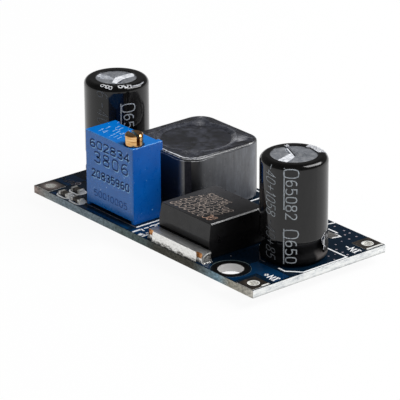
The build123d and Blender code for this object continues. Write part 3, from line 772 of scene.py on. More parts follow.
STROKES = {
    "I": (0.5, [[(0.0, 0), (0.5, 0)], [(0.25, 0), (0.25, 1)], [(0.0, 1), (0.5, 1)]]),
    "N": (0.75, [[(0.08, 0), (0.08, 1), (0.67, 0), (0.67, 1)]]),
    "+": (0.7, [[(0.05, 0.5), (0.65, 0.5)], [(0.35, 0.2), (0.35, 0.8)]]),
    "-": (0.6, [[(0.05, 0.5), (0.55, 0.5)]]),
    "O": (0.8, [[
        (0.1, 0.15), (0.1, 0.85), (0.25, 1), (0.55, 1), (0.7, 0.85), (0.7, 0.15), (0.55, 0),
        (0.25, 0), (0.1, 0.15),
    ]]),
    "U": (0.75, [[(0.08, 1), (0.08, 0.15), (0.22, 0), (0.53, 0), (0.67, 0.15), (0.67, 1)]]),
    "T": (0.75, [[(0.02, 1), (0.73, 1)], [(0.375, 1), (0.375, 0)]]),
    "0": (0.6, [[
        (0.3, 1), (0.04, 0.92), (0.04, 0.08), (0.3, 0), (0.56, 0.08), (0.56, 0.92), (0.3, 1),
    ]]),
    "1": (0.35, [[(0.05, 0.76), (0.22, 1), (0.22, 1), (0.22, 0)]]),
    "2": (0.6, [[
        (0.05, 0.8), (0.12, 1), (0.48, 1), (0.58, 0.7), (0.3, 0.38), (0.04, 0), (0.04, 0),
        (0.58, 0),
    ]]),
    "3": (0.58, [
        [(0.05, 0.88), (0.28, 1.02), (0.55, 0.9), (0.5, 0.56), (0.25, 0.54)],
        [(0.25, 0.54), (0.56, 0.5), (0.56, 0.08), (0.28, -0.02), (0.04, 0.12)],
    ]),
    "4": (0.62, [[(0.44, 0), (0.44, 1), (0.44, 1), (0.03, 0.28), (0.03, 0.28), (0.6, 0.28)]]),
    "5": (0.6, [[
        (0.52, 1), (0.1, 1), (0.1, 1), (0.07, 0.55), (0.07, 0.55), (0.33, 0.66), (0.57, 0.5),
        (0.55, 0.08), (0.28, -0.02), (0.04, 0.1),
    ]]),
    "6": (0.6, [[
        (0.5, 0.95), (0.28, 1), (0.06, 0.8), (0.04, 0.15), (0.28, -0.02), (0.56, 0.12),
        (0.55, 0.5), (0.3, 0.6), (0.06, 0.42),
    ]]),
    "8": (0.6, [[
        (0.3, 0.54), (0.06, 0.66), (0.08, 0.96), (0.3, 1), (0.52, 0.96), (0.54, 0.66),
        (0.3, 0.54), (0.03, 0.42), (0.05, 0.05), (0.3, 0), (0.55, 0.05), (0.57, 0.42),
        (0.3, 0.54),
    ]]),
    "9": (0.6, [[
        (0.1, 0.05), (0.32, 0), (0.54, 0.2), (0.56, 0.85), (0.32, 1.02), (0.04, 0.88),
        (0.05, 0.5), (0.3, 0.4), (0.54, 0.58),
    ]]),
}
SPACE = 0.4


def rounded(points, times=2):
    """Cut the corners of a line; a point given twice keeps its corner."""
    for _ in range(times):
        cut = [points[0]]
        for (ax, ay), (bx, by) in zip(points, points[1:]):
            cut += [(0.75 * ax + 0.25 * bx, 0.75 * ay + 0.25 * by),
                    (0.25 * ax + 0.75 * bx, 0.25 * ay + 0.75 * by)]
        points = cut + [points[-1]]
    return [p for i, p in enumerate(points) if i == 0 or math.dist(p, points[i - 1]) > 1e-4]


def figures(text, height, widen=1.0, width=0.15, gap=0.22, lean=0.0, thickness=0.02):
    """Vertices and faces of a line of figures along +X, with its middle at the origin."""
    sheet = Sheet()
    cursor = 0.0
    for letter in text:
        advance, lines = STROKES.get(letter, (SPACE, []))
        for line in lines:
            points = [
                ((cursor + x) * height * widen + lean * y * height, (y - 0.5) * height)
                for x, y in rounded(line)
            ]
            sheet.stroke(points, width, 0, thickness)
        cursor += advance + gap
    half = (cursor - gap) * height * widen / 2
    return [Vector((x - half, y, z)) for x, y, z in sheet.vertices], sheet.faces


def legend(sheet, text, start, height):
    """Terminal print that reads along -X, from a start corner."""
    cursor = 0.0
    for letter in text:
        advance, lines = STROKES[letter]
        for line in lines:
            sheet.ink([(start[0] - (cursor + x) * height, start[1] - y * height)
                       for x, y in line])
        cursor += advance + 0.2


# Board details

def frame_round(low, high, reach, radius=0.0):
    """Outline round a box at a distance, with rounded corners where a radius is given."""
    left, right = low.x - reach, high.x + reach
    front, back = low.y - reach, high.y + reach
    if not radius:
        return [(left, front), (right, front), (right, back), (left, back)]
    outline = []
    for turn, x, y in ((0, right - radius, back - radius), (1, left + radius, back - radius),
                       (2, left + radius, front + radius), (3, right - radius, front + radius)):
        outline += circle(x, y, radius, 6, turn * math.pi / 2, math.pi / 2)
    return outline


def make_board_print():
    sheet, faint = Sheet(), Sheet()

    # Outline of the input capacitor: six sides; the near one is thin and dim as painted shade
    sheet.ink([(18.6, -4.02), (19.8, -4.02), (21.42, -2.5), (21.42, 4.45), (12.98, 4.45),
               (12.98, 0.0)])
    faint.ink([(13.3, -2.45), (15.2, -4.0), (16.2, -4.0)], 0.13)

    # Outlines of the inductor and the diode
    sheet.ink(frame_round(*box("inductor_shield"), 0.28), closed=True)
    low, high = box("diode_block")
    low.x, high.x = low.x - 1.1, high.x + 1.1
    sheet.ink(frame_round(low, high, 0.4), closed=True)

    # Lines between the trimmer and the regulator
    low, high = box("trimmer_case")
    side, front, back = high.x + 0.8, low.y - 0.22, high.y + 0.3
    sheet.ink([(side, front), (side, back), (low.x - 0.25, back)])
    for x, end in ((-1.35, -9.3), (0.52, -9.2)):
        sheet.ink([(x, -10.5), (x, end)], 0.26)
    for fragment in (
        [(-1.31, -8.73), (-1.26, -8.37), (-1.26, -8.06)],
        [(-1.3, -7.79), (-1.44, -7.36), (-1.29, -6.93), (-1.43, -6.22)],
        [(-1.03, -7.29), (-0.93, -7.05), (-0.53, -7.07), (-0.28, -7.32), (-0.09, -7.73),
         (-0.45, -7.71)],
        [(-1.41, -9.09), (-0.7, -9.22)],
        [(0.25, -10.09), (0.25, -9.85)],
        [(0.03, -9.48), (0.02, -9.16)],
    ):
        sheet.ink(fragment)
    sheet.ink([(-0.04, -10.51), (-0.22, -9.93)], 0.45)
    # The line before the trimmer is dim: painted shade
    faint.ink([(side, front), (low.x - 0.25, front), (low.x - 0.25, back)], 0.14)

    # Outline of the regulator, and the mark behind the input capacitor
    low, high = box("regulator_package")
    left, right, back = low.x - 0.5, high.x + 0.5, high.y + 0.3
    for line in (
        [(left, -1.2), (left, back), (right, back), (right, -1.2)],
        [(13.5, 8.55), (15.2, 8.55)],
        [(15.15, 8.1), (16.25, 8.1), (15.9, 6.95)],
        [(12.3, 9.4), (12.6, 10.5)],
    ):
        sheet.ink(line)

    # Rounded outlines of the chip parts
    for spot in CHIPS:
        low, _ = box(f"chip_{spot}_cap_left")
        _, high = box(f"chip_{spot}_cap_right")
        sheet.ink(frame_round(low, high, 0.28, 0.6), 0.25, closed=True)

    legend(sheet, "IN+", (21.07, -5.92), 0.95)
    legend(sheet, "IN-", (21.15, 7.05), 1.0)
    legend(faint, "OUT+", (-18.2, -6.0), 0.8)
    legend(faint, "OUT-", (-18.2, 6.9), 0.8)
    sheet.make("silk_print", "silk_ink")
    centre = middle("output_film")
    faint.ink(circle(centre.x, centre.y, 4.2, 56), 0.14, closed=True)
    faint.make("shaded_and_faint_print", "shaded_and_faint_silk")

    # Rings of both mounting holes, on both faces, cut off where the board ends
    for index, (x, y) in enumerate(MOUNT_HOLES, 1):
        room = abs((FRONT if y < 0 else BACK) - y)

        def arc(radius, gap):
            reach = math.acos(min(1.0, (room - gap) / radius))
            start = math.copysign(math.pi / 2, y) + reach
            return circle(x, y, radius, 60, start, math.tau - 2 * reach)

        for face, low in (("top", TOP + 0.002), ("under", UNDER - 0.012)):
            dark, pale = Sheet(), Sheet()
            dark.fill([arc(2.32, 0.02), circle(x, y, 1.6)], 0.01, low)
            dark.make(f"hole_ring_{face}_{index}", "bare_ring")
            pale.stroke(arc(2.52, 0.1), 0.12, low, low + 0.01)
            pale.make(f"hole_edge_{face}_{index}", "ring_edge")

    # Copper under the mask, seen as slightly raised brighter areas
    x, y = MOUNT_HOLES[0]
    beside_hole = circle(x, y, 2.5, 30, math.radians(80), -math.radians(133.13))
    before_hole = circle(x, y, 2.5, 8, math.radians(200), math.radians(33.13))
    sheet = Sheet()
    for outline in (
        # This area stops at y -9.3, so the mask between the regulator and the hole stays dark as
        # painted shade
        [(9.6, -10.45), (9.6, -9.3), *before_hole],
        [*beside_hole, (18.0, -10.45), (18.0, -7.0), (21.3, -7.0), (21.3, -4.6), (15.4, -4.6)],
        [(-2.0, -10.45), (1.0, -10.45), (1.0, -3.0), (-2.0, -3.0)],
        [(-18.2, -10.45), (-2.6, -10.45), (-2.6, -9.95), (-18.2, -9.95)],
        [(-21.3, -7.4), (-18.6, -7.4), (-18.6, -4.6), (-21.3, -4.6)],
        [(-21.3, 5.0), (-17.4, 5.0), (-17.4, 7.4), (-21.3, 7.4)],
    ):
        sheet.fill([outline], 0.012, TOP + 0.001)
    sheet.make("copper_areas", "mask_over_copper")

    # Painted highlights: bright tin rings round the wire holes, and strips on the sides of the
    # lands next to the board's end
    sheet = Sheet()
    tin_low, tin_thick = TOP + 0.052, 0.012
    for name in ("in_pos", "in_neg"):
        low, high = box(f"land_{name}")
        x, y, _ = (low + high) / 2
        sheet.fill([circle(x, y, 0.76, 32), circle(x, y, 0.63, 32)], tin_thick, tin_low)
        start = low.y + 0.1 if name == "in_neg" else high.y - 1.2
        side = high.x - 0.15
        sheet.stroke([(side, start), (side, high.y - 0.1)], 0.24, tin_low, tin_low + tin_thick)
    sheet.make("land_painted_highlights", "bright_tin")


def make_vias():
    """Small plated holes scattered in the copper near the input and output ends."""
    dice = random.Random(5)
    sheet = Sheet()
    via_low, via_thick = TOP + 0.014, 0.012
    for x, y in (
        (13.4, 9.7), (15.15, 9.7), (16.15, 9.7), (17.5, 9.6), (16.2, 8.9), (17.5, 8.4),
        (17.45, 7.2), (17.7, 6.0), (18.9, 5.05), (20.0, 5.05), (20.9, 5.05), (19.85, 3.95),
        (20.95, 2.85), (19.8, 2.95), (16.6, 5.3), (15.6, 5.6), (12.1, -6.0), (11.9, 1.6),
        (10.6, -8.9),
    ):
        sheet.fill([circle(x, y, dice.uniform(0.10, 0.15), 14)], via_thick, via_low)
    x, y = -18.41, -5.94
    sheet.fill([circle(x, y, 0.42, 20), circle(x, y, 0.28, 16)], via_thick, via_low)
    sheet.make("via_rings", "via_tin")


# Solder on the surface lands, with painted highlights and painted shadows

def fillet(name, start, end, out, width, height, seed, steps, ragged, look="solder"):
    """Solder that climbs a vertical face between two points and runs out onto its land."""
    dice = random.Random(seed)
    start, end, out = Vector(start), Vector(end), Vector(out)
    rows = 6
    vertices = []
    for i in range(steps + 1):
        t = i / steps
        base = start.lerp(end, t)
        sway = noise.noise(Vector((t * 14 + seed, 0.3, seed * 1.7)))
        local = width * (1 + ragged * sway) + 0.02 * dice.random()
        tall = height * (1 + 0.35 * ragged * noise.noise(Vector((t * 9, seed, 4.1))))
        for j in range(rows + 1):
            s = j / rows
            vertices.append((*(base + out * local * s), TOP + tall * (1 - s) ** 1.7))
    faces = grid(steps, rows)
    last = len(vertices)
    vertices += [(*start, TOP), (*end, TOP)]
    faces.append((last, *range(0, rows + 1)))
    faces.append((last + 1, *range(steps * (rows + 1) + rows, steps * (rows + 1) - 1, -1)))
    piece(name, vertices, faces, look, smooth=True)


def end_fillet(name, solid, side, *shape):
    """A fillet along the end of a solid that looks to -X or +X."""
    low, high = box(solid)
    x = low.x if side < 0 else high.x
    fillet(name, (x, low.y), (x, high.y), (side, 0), *shape)


def make_surface_solder():
    low, high = box("regulator_tab")
    fillet("tab_solder_front", (low.x + 0.9, low.y), (high.x - 0.9, low.y), (0, -1),
           0.17, 1.15, 3, 90, 0.9, "tab_solder")
    near, deep = low.y + 0.1, low.y + 1.5
    fillet("tab_solder_left", (low.x + 0.02, deep), (low.x + 0.02, near), (-1, 0),
           0.35, 0.8, 5, 20, 0.7)
    fillet("tab_solder_right", (high.x - 0.02, near), (high.x - 0.02, deep), (1, 0),
           0.35, 0.9, 8, 20, 0.7)
    centre = (low.x + high.x) / 2
    spans = [(3, centre + 0.4, centre - 0.4, high.y)]
    for number in (5, 4, 2, 1):
        lead_low, lead_high = box(f"regulator_lead_{number}")
        spans.insert(0, (number, lead_high.x, lead_low.x, lead_high.y))
    for number, start, end, y in spans:
        fillet(f"lead_solder_{number}", (start, y), (end, y), (0, 1),
               0.45, 0.4, 20 + number, 12, 0.3)
    for side, name in ((-1, "out"), (1, "in")):
        end_fillet(f"clip_solder_{name}", f"inductor_clip_{name}", side,
                   0.4, 0.5, 30 + side, 20, 0.5)
    for side, name in ((-1, "anode"), (1, "cathode")):
        end_fillet(f"diode_solder_{name}", f"diode_strip_{name}", side,
                   0.5, 0.7, 40 + side, 14, 0.4)
    for spot in CHIPS:
        for side, name in ENDS:
            # The fillets at the chips' right ends wear the tin that paints highlights
            end_fillet(f"chip_solder_{spot}_{name}", f"chip_{spot}_cap_{name}", side,
                       0.28, 0.47, 50 + side, 10, 0.4, "bright_tin" if side > 0 else "solder")

    # Painted highlights on the caps of the chips
    sheet = Sheet()
    for spot in CHIPS:
        a, b = box(f"chip_{spot}_cap_right")
        sheet.bead([(b.x - 0.05, a.y + 0.02, b.z - 0.12), (b.x - 0.02, (a.y + b.y) / 2, b.z - 0.02),
                    (b.x - 0.05, b.y - 0.1, b.z - 0.08)], 0.17)
        a, b = box(f"chip_{spot}_cap_left")
        sheet.bead([(a.x + 0.1, a.y + 0.05, b.z - 0.15), (b.x - 0.05, a.y + 0.02, b.z - 0.18)],
                   0.12)
    sheet.make("chip_painted_highlights", "bright_tin", smooth=True)

    # A painted shadow line along the foot of the package front, just above the tab
    a, b = box("regulator_package")
    left, right, foot = a.x + 0.15, b.x - 0.15, TOP + 1.3
    sheet = Sheet()
    sheet.prism([(left, a.y - 0.03), (right, a.y - 0.03), (right, a.y + 0.2), (left, a.y + 0.2)],
                foot + 0.005, foot + 0.3)
    sheet.make("package_painted_shadow", "painted_shadow_black")

    # Solder drawn up the right side of the tab, with a painted highlight on it and a painted shadow
    # line under it
    side = high.x - 0.02
    arc = ((-10.05, 2.95), (-9.83, 3.14), (-9.5, 3.27), (-9.2, 3.34), (-8.9, 3.36), (-8.65, 3.3))
    sheet = Sheet()
    sheet.bead([(side, y, z) for y, z in arc], 0.085)
    sheet.make("tab_bead", "bright_tin", smooth=True)
    sheet = Sheet()
    sheet.bead([(side - 0.01, y, z - 0.19) for y, z in arc[1:-1]], 0.05)
    sheet.make("tab_painted_shadow", "painted_shadow_black")

    # Bare tinned land behind the input capacitor
    sheet = Sheet()
    sheet.fill([[(13.9, 6.7), (15.9, 6.7), (15.9, 8.1), (13.9, 8.1)]], 0.06, TOP + 0.005)
    sheet.make("spare_land", "solder")


# Capacitor print, wrapped on the film, and painted highlights on the cans

class Can:
    """The outer surface of a capacitor film, by angle and by path length from its foot."""

    def __init__(self, name):
        low, high = box(name)
        self.x, self.y = (low.x + high.x) / 2, (low.y + high.y) / 2
        self.radius = (high.x - low.x) / 2
        self.top = high.z
        self.corner = 0.75
        self.straight = self.top - self.corner

    def point(self, angle, path, lift):
        """Path is a height up to the shoulder, then runs on over it."""
        beyond = path - self.straight
        quarter = self.corner * math.pi / 2
        if beyond <= 0:
            radius, z = self.radius + lift, path
        elif beyond <= quarter:
            turn = beyond / self.corner
            radius = self.radius - self.corner + (self.corner + lift) * math.cos(turn)
            z = self.straight + (self.corner + lift) * math.sin(turn)
        else:
            radius, z = self.radius - self.corner - (beyond - quarter), self.top + lift
        return Vector((self.x + radius * math.cos(angle), self.y + radius * math.sin(angle), z))

    def line(self, places, lift):
        """Points at angles in degrees and path lengths."""
        return [self.point(math.radians(degrees), path, lift) for degrees, path in places]

    def wrap(self, sheet, shape, degrees, path, turn=DOWN):
        """Add wrapped lettering. Turn is the angle of its reading direction from the level."""
        vertices, faces = shape
        mesh = bmesh.new()
        made = [mesh.verts.new(v) for v in vertices]
        for face in faces:
            try:
                mesh.faces.new([made[i] for i in face])
            except ValueError:
                pass
        bmesh.ops.triangulate(mesh, faces=mesh.faces)
        longest = 0.45
        for _ in range(3):
            long_edges = [e for e in mesh.edges if e.calc_length() > longest]
            if not long_edges:
                break
            bmesh.ops.subdivide_edges(mesh, edges=long_edges, cuts=1)
            bmesh.ops.triangulate(mesh, faces=mesh.faces)
        cosine, sine = math.cos(turn), math.sin(turn)
        mesh.verts.index_update()
        placed = []
        for x, y, z in (vertex.co for vertex in mesh.verts):
            angle = math.radians(degrees) + (x * cosine - y * sine) / self.radius
            placed.append(self.point(angle, path + x * sine + y * cosine, 0.012 + z))
        sheet.add(placed, [tuple(v.index for v in face.verts) for face in mesh.faces])
        mesh.free()

    def column(self, sheet, degrees, tall, text):
        """A large figure with a column of smaller ones under it."""
        self.wrap(sheet, figures("0", 1.85, 1.1, 0.13), degrees, tall - 0.55)
        self.wrap(sheet, figures(text, 1.3, 1.05, 0.13, 0.18), degrees + 0.5,
                  tall - 1.25 - 1.06 * len(text) / 2)

    def bar(self, sheet, degrees, middle_path, length):
        line = Sheet()
        line.stroke([(-length / 2, 0), (length / 2, 0)], 0.14, 0, 0.02)
        self.wrap(sheet, (line.vertices, line.faces), degrees, middle_path)


def make_can_print():
    # Input side: an outlined column in front, small leaning figures to its left
    can = Can("input_film")
    sheet, fine, low_fine = Sheet(), Sheet(), Sheet()
    for tall, text in ((15.0, "65082"), (7.25, "650")):
        can.column(sheet, -46, tall, text)
        length = min(5.3, tall - 2.7)
        can.bar(sheet, -57.5, tall - length / 2 + 0.1, length)
    for part, tall, text in ((fine, 12.2, "-40+1058"), (low_fine, 5.9, "-40+85")):
        can.wrap(part, figures(text, 1.4, 0.8, 0.085, 0.16, 0.25), -83, tall)
    sheet.make("input_film_print", "film_print")
    fine.make("input_film_fine_print", "film_print")
    low_fine.make("input_film_low_print", "faint_print")

    # Painted highlights on facets of the pressed vents, and painted shade in one score, in the
    # aluminium of both cans
    disc, other = box("input_can")[1].z + 0.004, box("output_can")[1].z + 0.004
    sheet = Sheet()
    sheet.prism([(16.71, -2.69), (17.88, -2.14), (17.17, -0.31), (16.0, -0.02)], disc, disc + 0.008)
    sheet.stroke([(14.55, 0.8), (17.05, -0.29)], 0.16, disc, disc + 0.01)
    for outline in (
        [(-16.25, -1.86), (-17.54, -0.26), (-17.5, 1.85), (-17.35, 2.78), (-16.42, 1.88),
         (-16.42, 0.07), (-15.65, -1.64)],
        [(-19.67, -1.61), (-19.95, -1.11), (-19.59, -1.02), (-19.13, -1.47), (-19.15, -1.82)],
    ):
        sheet.fill([outline], 0.008, other)
    sheet.make("vent_painted_highlight", "vent_painted_highlight")
    sheet = Sheet()
    sheet.stroke([(14.61, 0.95), (17.01, -0.09)], 0.13, disc, disc + 0.009)
    sheet.make("vent_score_shade", "painted_shadow_black", slot="can_aluminium")

    # Output side: the same column turned away, and figures on the shoulder
    can = Can("output_film")
    sheet, faint, bright, sheen = Sheet(), Sheet(), Sheet(), Sheet()
    for tall, text in ((13.6, "65082"), (5.9, "6")):
        can.column(sheet, -17, tall, text)
    can.bar(sheet, -30.5, 11.1, 5.2)
    for tall, text in ((15.0, "6"), (11.5, "-40+1"), (6.2, "-40")):
        can.wrap(faint, figures(text, 1.45, 0.95, 0.11, 0.2, 0.25), -64, tall)
    for degrees, text, tall, path in (
        (-16, "5", 1.1, 1.05), (-27, "6", 1.1, 1.05), (-53, "8", 1.0, 0.95), (-65, "6", 1.0, 1.1),
    ):
        shape = figures(text, tall, 0.95, 0.15, thickness=0.008)
        can.wrap(bright, shape, degrees, can.straight + path - 0.1, DOWN - 0.3)
    # A painted highlight along the near part of the shoulder
    rim = ((-9, 0.78), (-4, 0.72), (1, 0.68), (6, 0.66), (11, 0.66), (16, 0.67), (21, 0.69),
           (27, 0.73))
    sheen.bead(can.line([(degrees, can.straight + path) for degrees, path in rim], 0.0), 0.1)
    sheen.make("output_film_sheen", "painted_film_sheen", smooth=True)
    sheet.make("output_film_print", "film_print")
    faint.make("output_film_fine_print", "faint_print")
    bright.make("output_film_figures", "shoulder_print")


CREASES = (
    ((34.0, 6.08), (19.6, 5.92), (12.0, 5.46), (15.1, 4.78), (26.1, 4.04), (33.4, 3.57)),
    ((28.4, 5.89), (27.0, 5.41), (24.4, 4.88), (38.4, 3.81)),
    ((12.0, 5.46), (25.7, 4.92)),
    ((15.8, 5.84), (32.4, 5.17)),
    ((17.2, 4.63), (32.9, 4.37)),
)


def make_film_folds():
    """The shrunk film where it stands off the input can: a dark foot of painted shade, pale patches
    on the far side of the shoulder (the larger one a painted reflection), and a stretched web with
    creases over the crimp."""
    can = Can("input_film")
    foot_top = 5.25

    def outer_foot(at, normal):
        outward = Vector((at.x - can.x, at.y - can.y, 0)).normalized()
        return at.z < foot_top and normal.dot(outward) > 0.05

    def patch(name, angles, paths, steps, rows, lift, seed, look):
        vertices = []
        for i in range(steps + 1):
            for j in range(rows + 1):
                s, t = i / steps, j / rows
                angle = math.radians(angles[0] + (angles[1] - angles[0]) * s)
                path = paths[0] + (paths[1] - paths[0]) * t
                if j in (0, rows):
                    path += 0.25 * noise.noise(Vector((s * 6, seed, t)))
                rise = lift * (1 + 0.8 * noise.noise(Vector((s * 7, t * 5, seed))))
                if i in (0, steps) or j in (0, rows):
                    rise = 0.004
                vertices.append(can.point(angle, path, rise))
        piece(name, vertices, grid(steps, rows), look, smooth=True)

    skin("film_foot", "input_film", outer_foot, 0.012, "film_foot")
    shoulder = can.straight
    # A painted reflection on the far side of the shoulder
    patch("film_painted_glare", (58, 108), (shoulder + 0.2, shoulder + 1.75), 20, 7, 0.03, 3.3,
          "pale_film_and_painted_glare")
    patch("film_nick", (152, 162), (shoulder + 1.5, shoulder + 2.1), 4, 3, 0.02, 5.1,
          "pale_film_and_painted_glare")
    web_low, web_high = 3.4, 6.2
    patch("film_web", (22, 62), (web_low, web_high - 0.9), 16, 10, 0.05, 7.7, "capacitor_film")
    sheet = Sheet()
    dice = random.Random(9)
    for k in range(9):
        degrees = 18 + 5.2 * k + dice.uniform(-1.5, 1.5)
        middle_z = (web_low + web_high) / 2 + dice.uniform(-0.4, 0.3)
        tall = dice.uniform(0.7, 1.9)
        lean = dice.uniform(-0.25, 0.25)
        bar = Sheet()
        bar.prism([(-tall / 2, -0.035), (tall / 2, -0.035 + lean), (tall / 2, 0.035 + lean),
                   (-tall / 2, 0.035)], 0, 0.02)
        can.wrap(sheet, (bar.vertices, bar.faces), degrees, middle_z)
    for crease in CREASES:
        sheet.bead(can.line(crease, 0.03), 0.035, 5)
    sheet.make("film_creases", "pale_film_and_painted_glare")


# Glue, wear, painted highlights and painted shade on the inductor

def make_coil_glue():
    low, high = box("inductor_shield")
    core_low, core_high = box("inductor_core")
    centre = middle("inductor_shield")
    top = high.z
    inner = (core_high.x - core_low.x) / 2
    half = (high.x - low.x) / 2

    # Ring of glue that fills the gap round the core: offset and rise across it
    steps, vertices = 120, []
    section = ((-0.32, -0.19), (-0.14, -0.08), (0.02, 0.02), (0.16, 0.07), (0.3, 0.07),
               (0.42, 0.004))
    for i in range(steps):
        angle = math.tau * i / steps
        cosine, sine = math.cos(angle), math.sin(angle)
        sway = noise.noise(Vector((cosine * 3, sine * 3, 0.7)))
        for offset, rise in section:
            radius = inner + offset + 0.09 * sway * (1 if offset > 0 else 0.4)
            vertices.append((centre.x + radius * cosine, centre.y + radius * sine, top + rise))
    piece("glue_ring", vertices, grid(steps, len(section) - 1, closed=True), "coil_glue",
          smooth=True)

    # Pools of glue in the corners: rings that shrink towards a raised middle
    sheet = Sheet()
    rings = ((1.0, 0.004), (0.8, 0.06), (0.55, 0.1), (0.3, 0.12))
    spread = math.radians(19)
    for corner in range(4):
        toward = math.radians(45 + 90 * corner)
        out = Vector((math.cos(toward), math.sin(toward)))
        at = centre.xy + out * (half * 1.13)
        rim = circle(centre.x, centre.y, inner + 0.28, 10, toward - spread, 2 * spread)
        rim += circle(at.x, at.y, 0.3, 7, toward + math.pi / 2, -math.pi)
        mid = centre.xy + out * (inner + 0.75)
        start, count = len(sheet.vertices), len(rim)
        for share, rise in rings:
            sheet.vertices += [(*mid.lerp(Vector(point), share), top + rise) for point in rim]
        sheet.vertices.append((mid.x, mid.y, top + 0.13))
        peak = start + len(rings) * count
        for ring in range(len(rings)):
            for i in range(count):
                a, b = start + ring * count + i, start + ring * count + (i + 1) % count
                inside = (peak,) if ring == len(rings) - 1 else (b + count, a + count)
                sheet.faces.append((a, b, *inside))
    sheet.make("glue_pools", "coil_glue", smooth=True)

    # Chipped rim round the near corner of the ring, light from chips and from a painted highlight,
    # as places with outward directions
    corner, turn = 2.4, 0.35
    path = []
    for i in range(42):
        path.append((low.x + 3.0 + (high.x - low.x - corner - 3.0) * i / 42, low.y, 0, -1))
    axis = Vector((high.x - corner, low.y + corner))
    for i in range(25):
        angle = -math.pi / 2 + math.pi / 2 * i / 24
        nx, ny = math.cos(angle), math.sin(angle)
        path.append((axis.x + corner * nx, axis.y + corner * ny, nx, ny))
    for i in range(1, 48):
        path.append((high.x, axis.y + (high.y - low.y - 2 * corner) * i / 48, 1, 0))
    vertices = []
    for index, (x, y, nx, ny) in enumerate(path):
        wave = noise.noise(Vector((index * 0.09, 0.2, 1.9)))
        for share, drop in ((-0.42 - 0.22 * wave, 0.012), (-turn * 0.9, 0.012),
                            (-turn * 0.29, -turn * 0.26), (0.012, -turn * (1.0 + 0.3 * wave))):
            vertices.append((x + nx * share, y + ny * share, top + drop))
    piece("worn_rim_and_highlight", vertices, grid(len(path) - 1, 3), "chipped_rim_and_highlight", smooth=True)

    # Foot of the shield: it comes down to just above the board
    sheet = Sheet()
    sheet.prism(frame_round(low, high, -0.04, corner), TOP + 0.22, low.z + 0.01)
    sheet.make("shield_foot", "ferrite")
    sheet = Sheet()
    sheet.prism(frame_round(low, high, -0.12, corner), TOP + 0.1, TOP + 0.23)
    sheet.make("shield_shadow", "painted_shadow_black", slot="ferrite")

    # Part of the near upright corner has a matt dark layer as painted shade
    def on_corner(at, normal):
        turned = math.degrees(math.atan2(normal.y, normal.x))
        upright = abs(normal.z) < 0.3 and at.z < top - 0.3
        return upright and -64 < turned < -40 and at.x > axis.x and at.y < axis.y

    skin("matt_corner_shade", "inductor_shield", on_corner, 0.006, "matt_ferrite_shade")
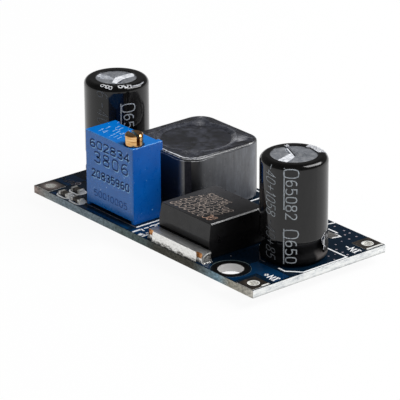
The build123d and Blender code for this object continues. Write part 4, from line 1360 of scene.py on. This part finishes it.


# Regulator and trimmer marks, with painted highlights and painted shade

def make_marks():
    low, high = box("regulator_package")
    top = high.z
    across, up = (0, 1, 0), (0, 0, 1)
    sheet, warm = Sheet(), Sheet()
    for x, y, text in ((3.7, 1.55, "8650326"), (4.2, 3.1, "60385682"), (4.4, 4.65, "28603598"),
                       (3.6, 6.15, "58036")):
        shape = figures(text, 1.25, 0.86, 0.1, 0.2, 0.3, 0.012)
        sheet.lay(shape, (low.x + x, low.y + y, top + 0.002), across)
    shape = figures("30", 1.3, 0.8, 0.12, 0.2, 0.3, 0.012)
    warm.lay(shape, (low.x + 7.5, low.y + 1.7, top + 0.002), across)
    sheet.make("regulator_marks", "laser_mark")
    warm.make("regulator_small_mark", "warm_mark")

    # A painted highlight along the upper edge beside the input can
    wide = 0.06
    start, end = low.y + 0.45, high.y - 0.1
    x, z = high.x - 0.14, top - 0.02
    corners = [(x - wide, start, z + wide), (x + wide, start, z - wide), (x + wide, end, z - wide),
               (x - wide, end, z + wide), (x - wide, start, z - wide), (x - wide, end, z - wide)]
    piece("regulator_edge_highlight", corners,
          [(0, 1, 2, 3), (0, 4, 1), (3, 2, 5), (0, 3, 5, 4), (1, 4, 5, 2)], "painted_edge_highlight")

    # Figures pressed into the trimmer's front, painted dark as shade in their hollows, with a
    # painted highlight on the lower edge of the upper rows
    low, high = box("trimmer_case")
    top = high.z
    dark, pale, white, weak = Sheet(), Sheet(), Sheet(), Sheet()
    for drop, text, tall, widen, gap, x in (
        (1.43, "602834", 1.02, 1.8, 0.15, 4.93), (3.1, "3806", 1.4, 1.6, 0.23, 5.15),
        (5.38, "20835960", 0.95, 1.3, 0.19, 5.0), (8.0, "50010005", 0.8, 1.4, 0.2, 4.95),
    ):
        rows = ((dark, 0.2, 0.0, 0.004), (pale, 0.11, 0.14, 0.001))
        for sheet, width, step, lift in rows if drop < 8 else ((weak, 0.12, 0.0, 0.004),):
            shape = figures(text, tall, widen, width, gap, 0.0, 0.012)
            sheet.lay(shape, (low.x + x + step, low.y - lift, top - drop - step), up)
    for y, x, text in ((1.3, 3.5, "14 111"), (2.45, 3.4, "1 1141"), (3.4, 3.3, "11 1")):
        shape = figures(text, 0.86, 1.2, 0.07, 0.3, -0.2, 0.012)
        white.lay(shape, (low.x + x, low.y + y, top + 0.002), across)
    dark.make("trimmer_figures", "engraved_painted_shade")
    weak.make("trimmer_faint_figures", "faint_engraved_blue")
    pale.make("trimmer_relief_highlight", "relief_painted_highlight")
    white.make("trimmer_top_figures", "white_relief")

    # Painted shade in the gap round the screw
    x, y, _ = middle("trimmer_screw")
    sheet = Sheet()
    sheet.fill([circle(x, y, 1.33), circle(x, y, 1.2)], 0.012, top + 0.002)
    sheet.make("screw_well", "engraved_painted_shade")


# Stage

def make_stage():
    world = bpy.data.worlds.new("studio")
    bpy.context.scene.world = world
    graph = Graph(world)
    height = graph.parts(graph.add("TexCoord").outputs["Generated"])[2]
    sky = graph.ramp(height, (0.03, 1.0), (0.12, 0.16), (0.4, 0.10), (1.0, 0.06))
    studio = graph.wire("Background", sky, 1.0)
    soft = graph.wire("Background", (0.97, 0.985, 1), 0.42)
    graph.add("OutputWorld", graph.wire("MixShader", graph.shown(), soft, studio))

    size = 3.0
    mesh = bpy.data.meshes.new("floor")
    corners = [(-size, -size, 0), (size, -size, 0), (size, size, 0), (-size, size, 0)]
    mesh.from_pydata(corners, [], [(0, 1, 2, 3)])
    floor = bpy.data.objects.new("floor", mesh)
    bpy.context.scene.collection.objects.link(floor)
    material = bpy.data.materials.new("white_floor")
    graph = Graph(material)
    paper = graph.wire("BsdfDiffuse", 0.85)
    lit = graph.wire("MixShader", 0.94, paper, graph.wire("Emission", 1.0, 1.0))
    graph.add("OutputMaterial", graph.wire("MixShader", graph.shown(), paper, lit))
    mesh.materials.append(material)

    # One large soft lamp behind the output end, turned towards the board
    data = bpy.data.lights.new("key", "AREA")
    data.shape = "RECTANGLE"
    data.size, data.size_y = 0.42, 0.23
    data.energy = 2.7
    lamp = bpy.data.objects.new("key", data)
    place, along = Vector((0.20, 0.26, 0.375)), Vector((-0.38, 1.07, -0.53))
    out = (place - Vector((0, 0, 0.005))).normalized()
    along = (along - out * along.dot(out)).normalized()
    turn = Matrix((along, out.cross(along), out)).transposed().to_4x4()
    lamp.matrix_world = Matrix.Translation(place) @ turn
    bpy.context.scene.collection.objects.link(lamp)


make_camera()
make_stage()
make_board_looks()
make_metal_looks()
make_capacitor_looks()
make_inductor_looks()
make_regulator_looks()
make_trimmer_looks()
make_board_print()
make_vias()
make_surface_solder()
make_can_print()
make_film_folds()
make_coil_glue()
make_marks()

bpy.context.scene.view_settings.view_transform = "Standard"
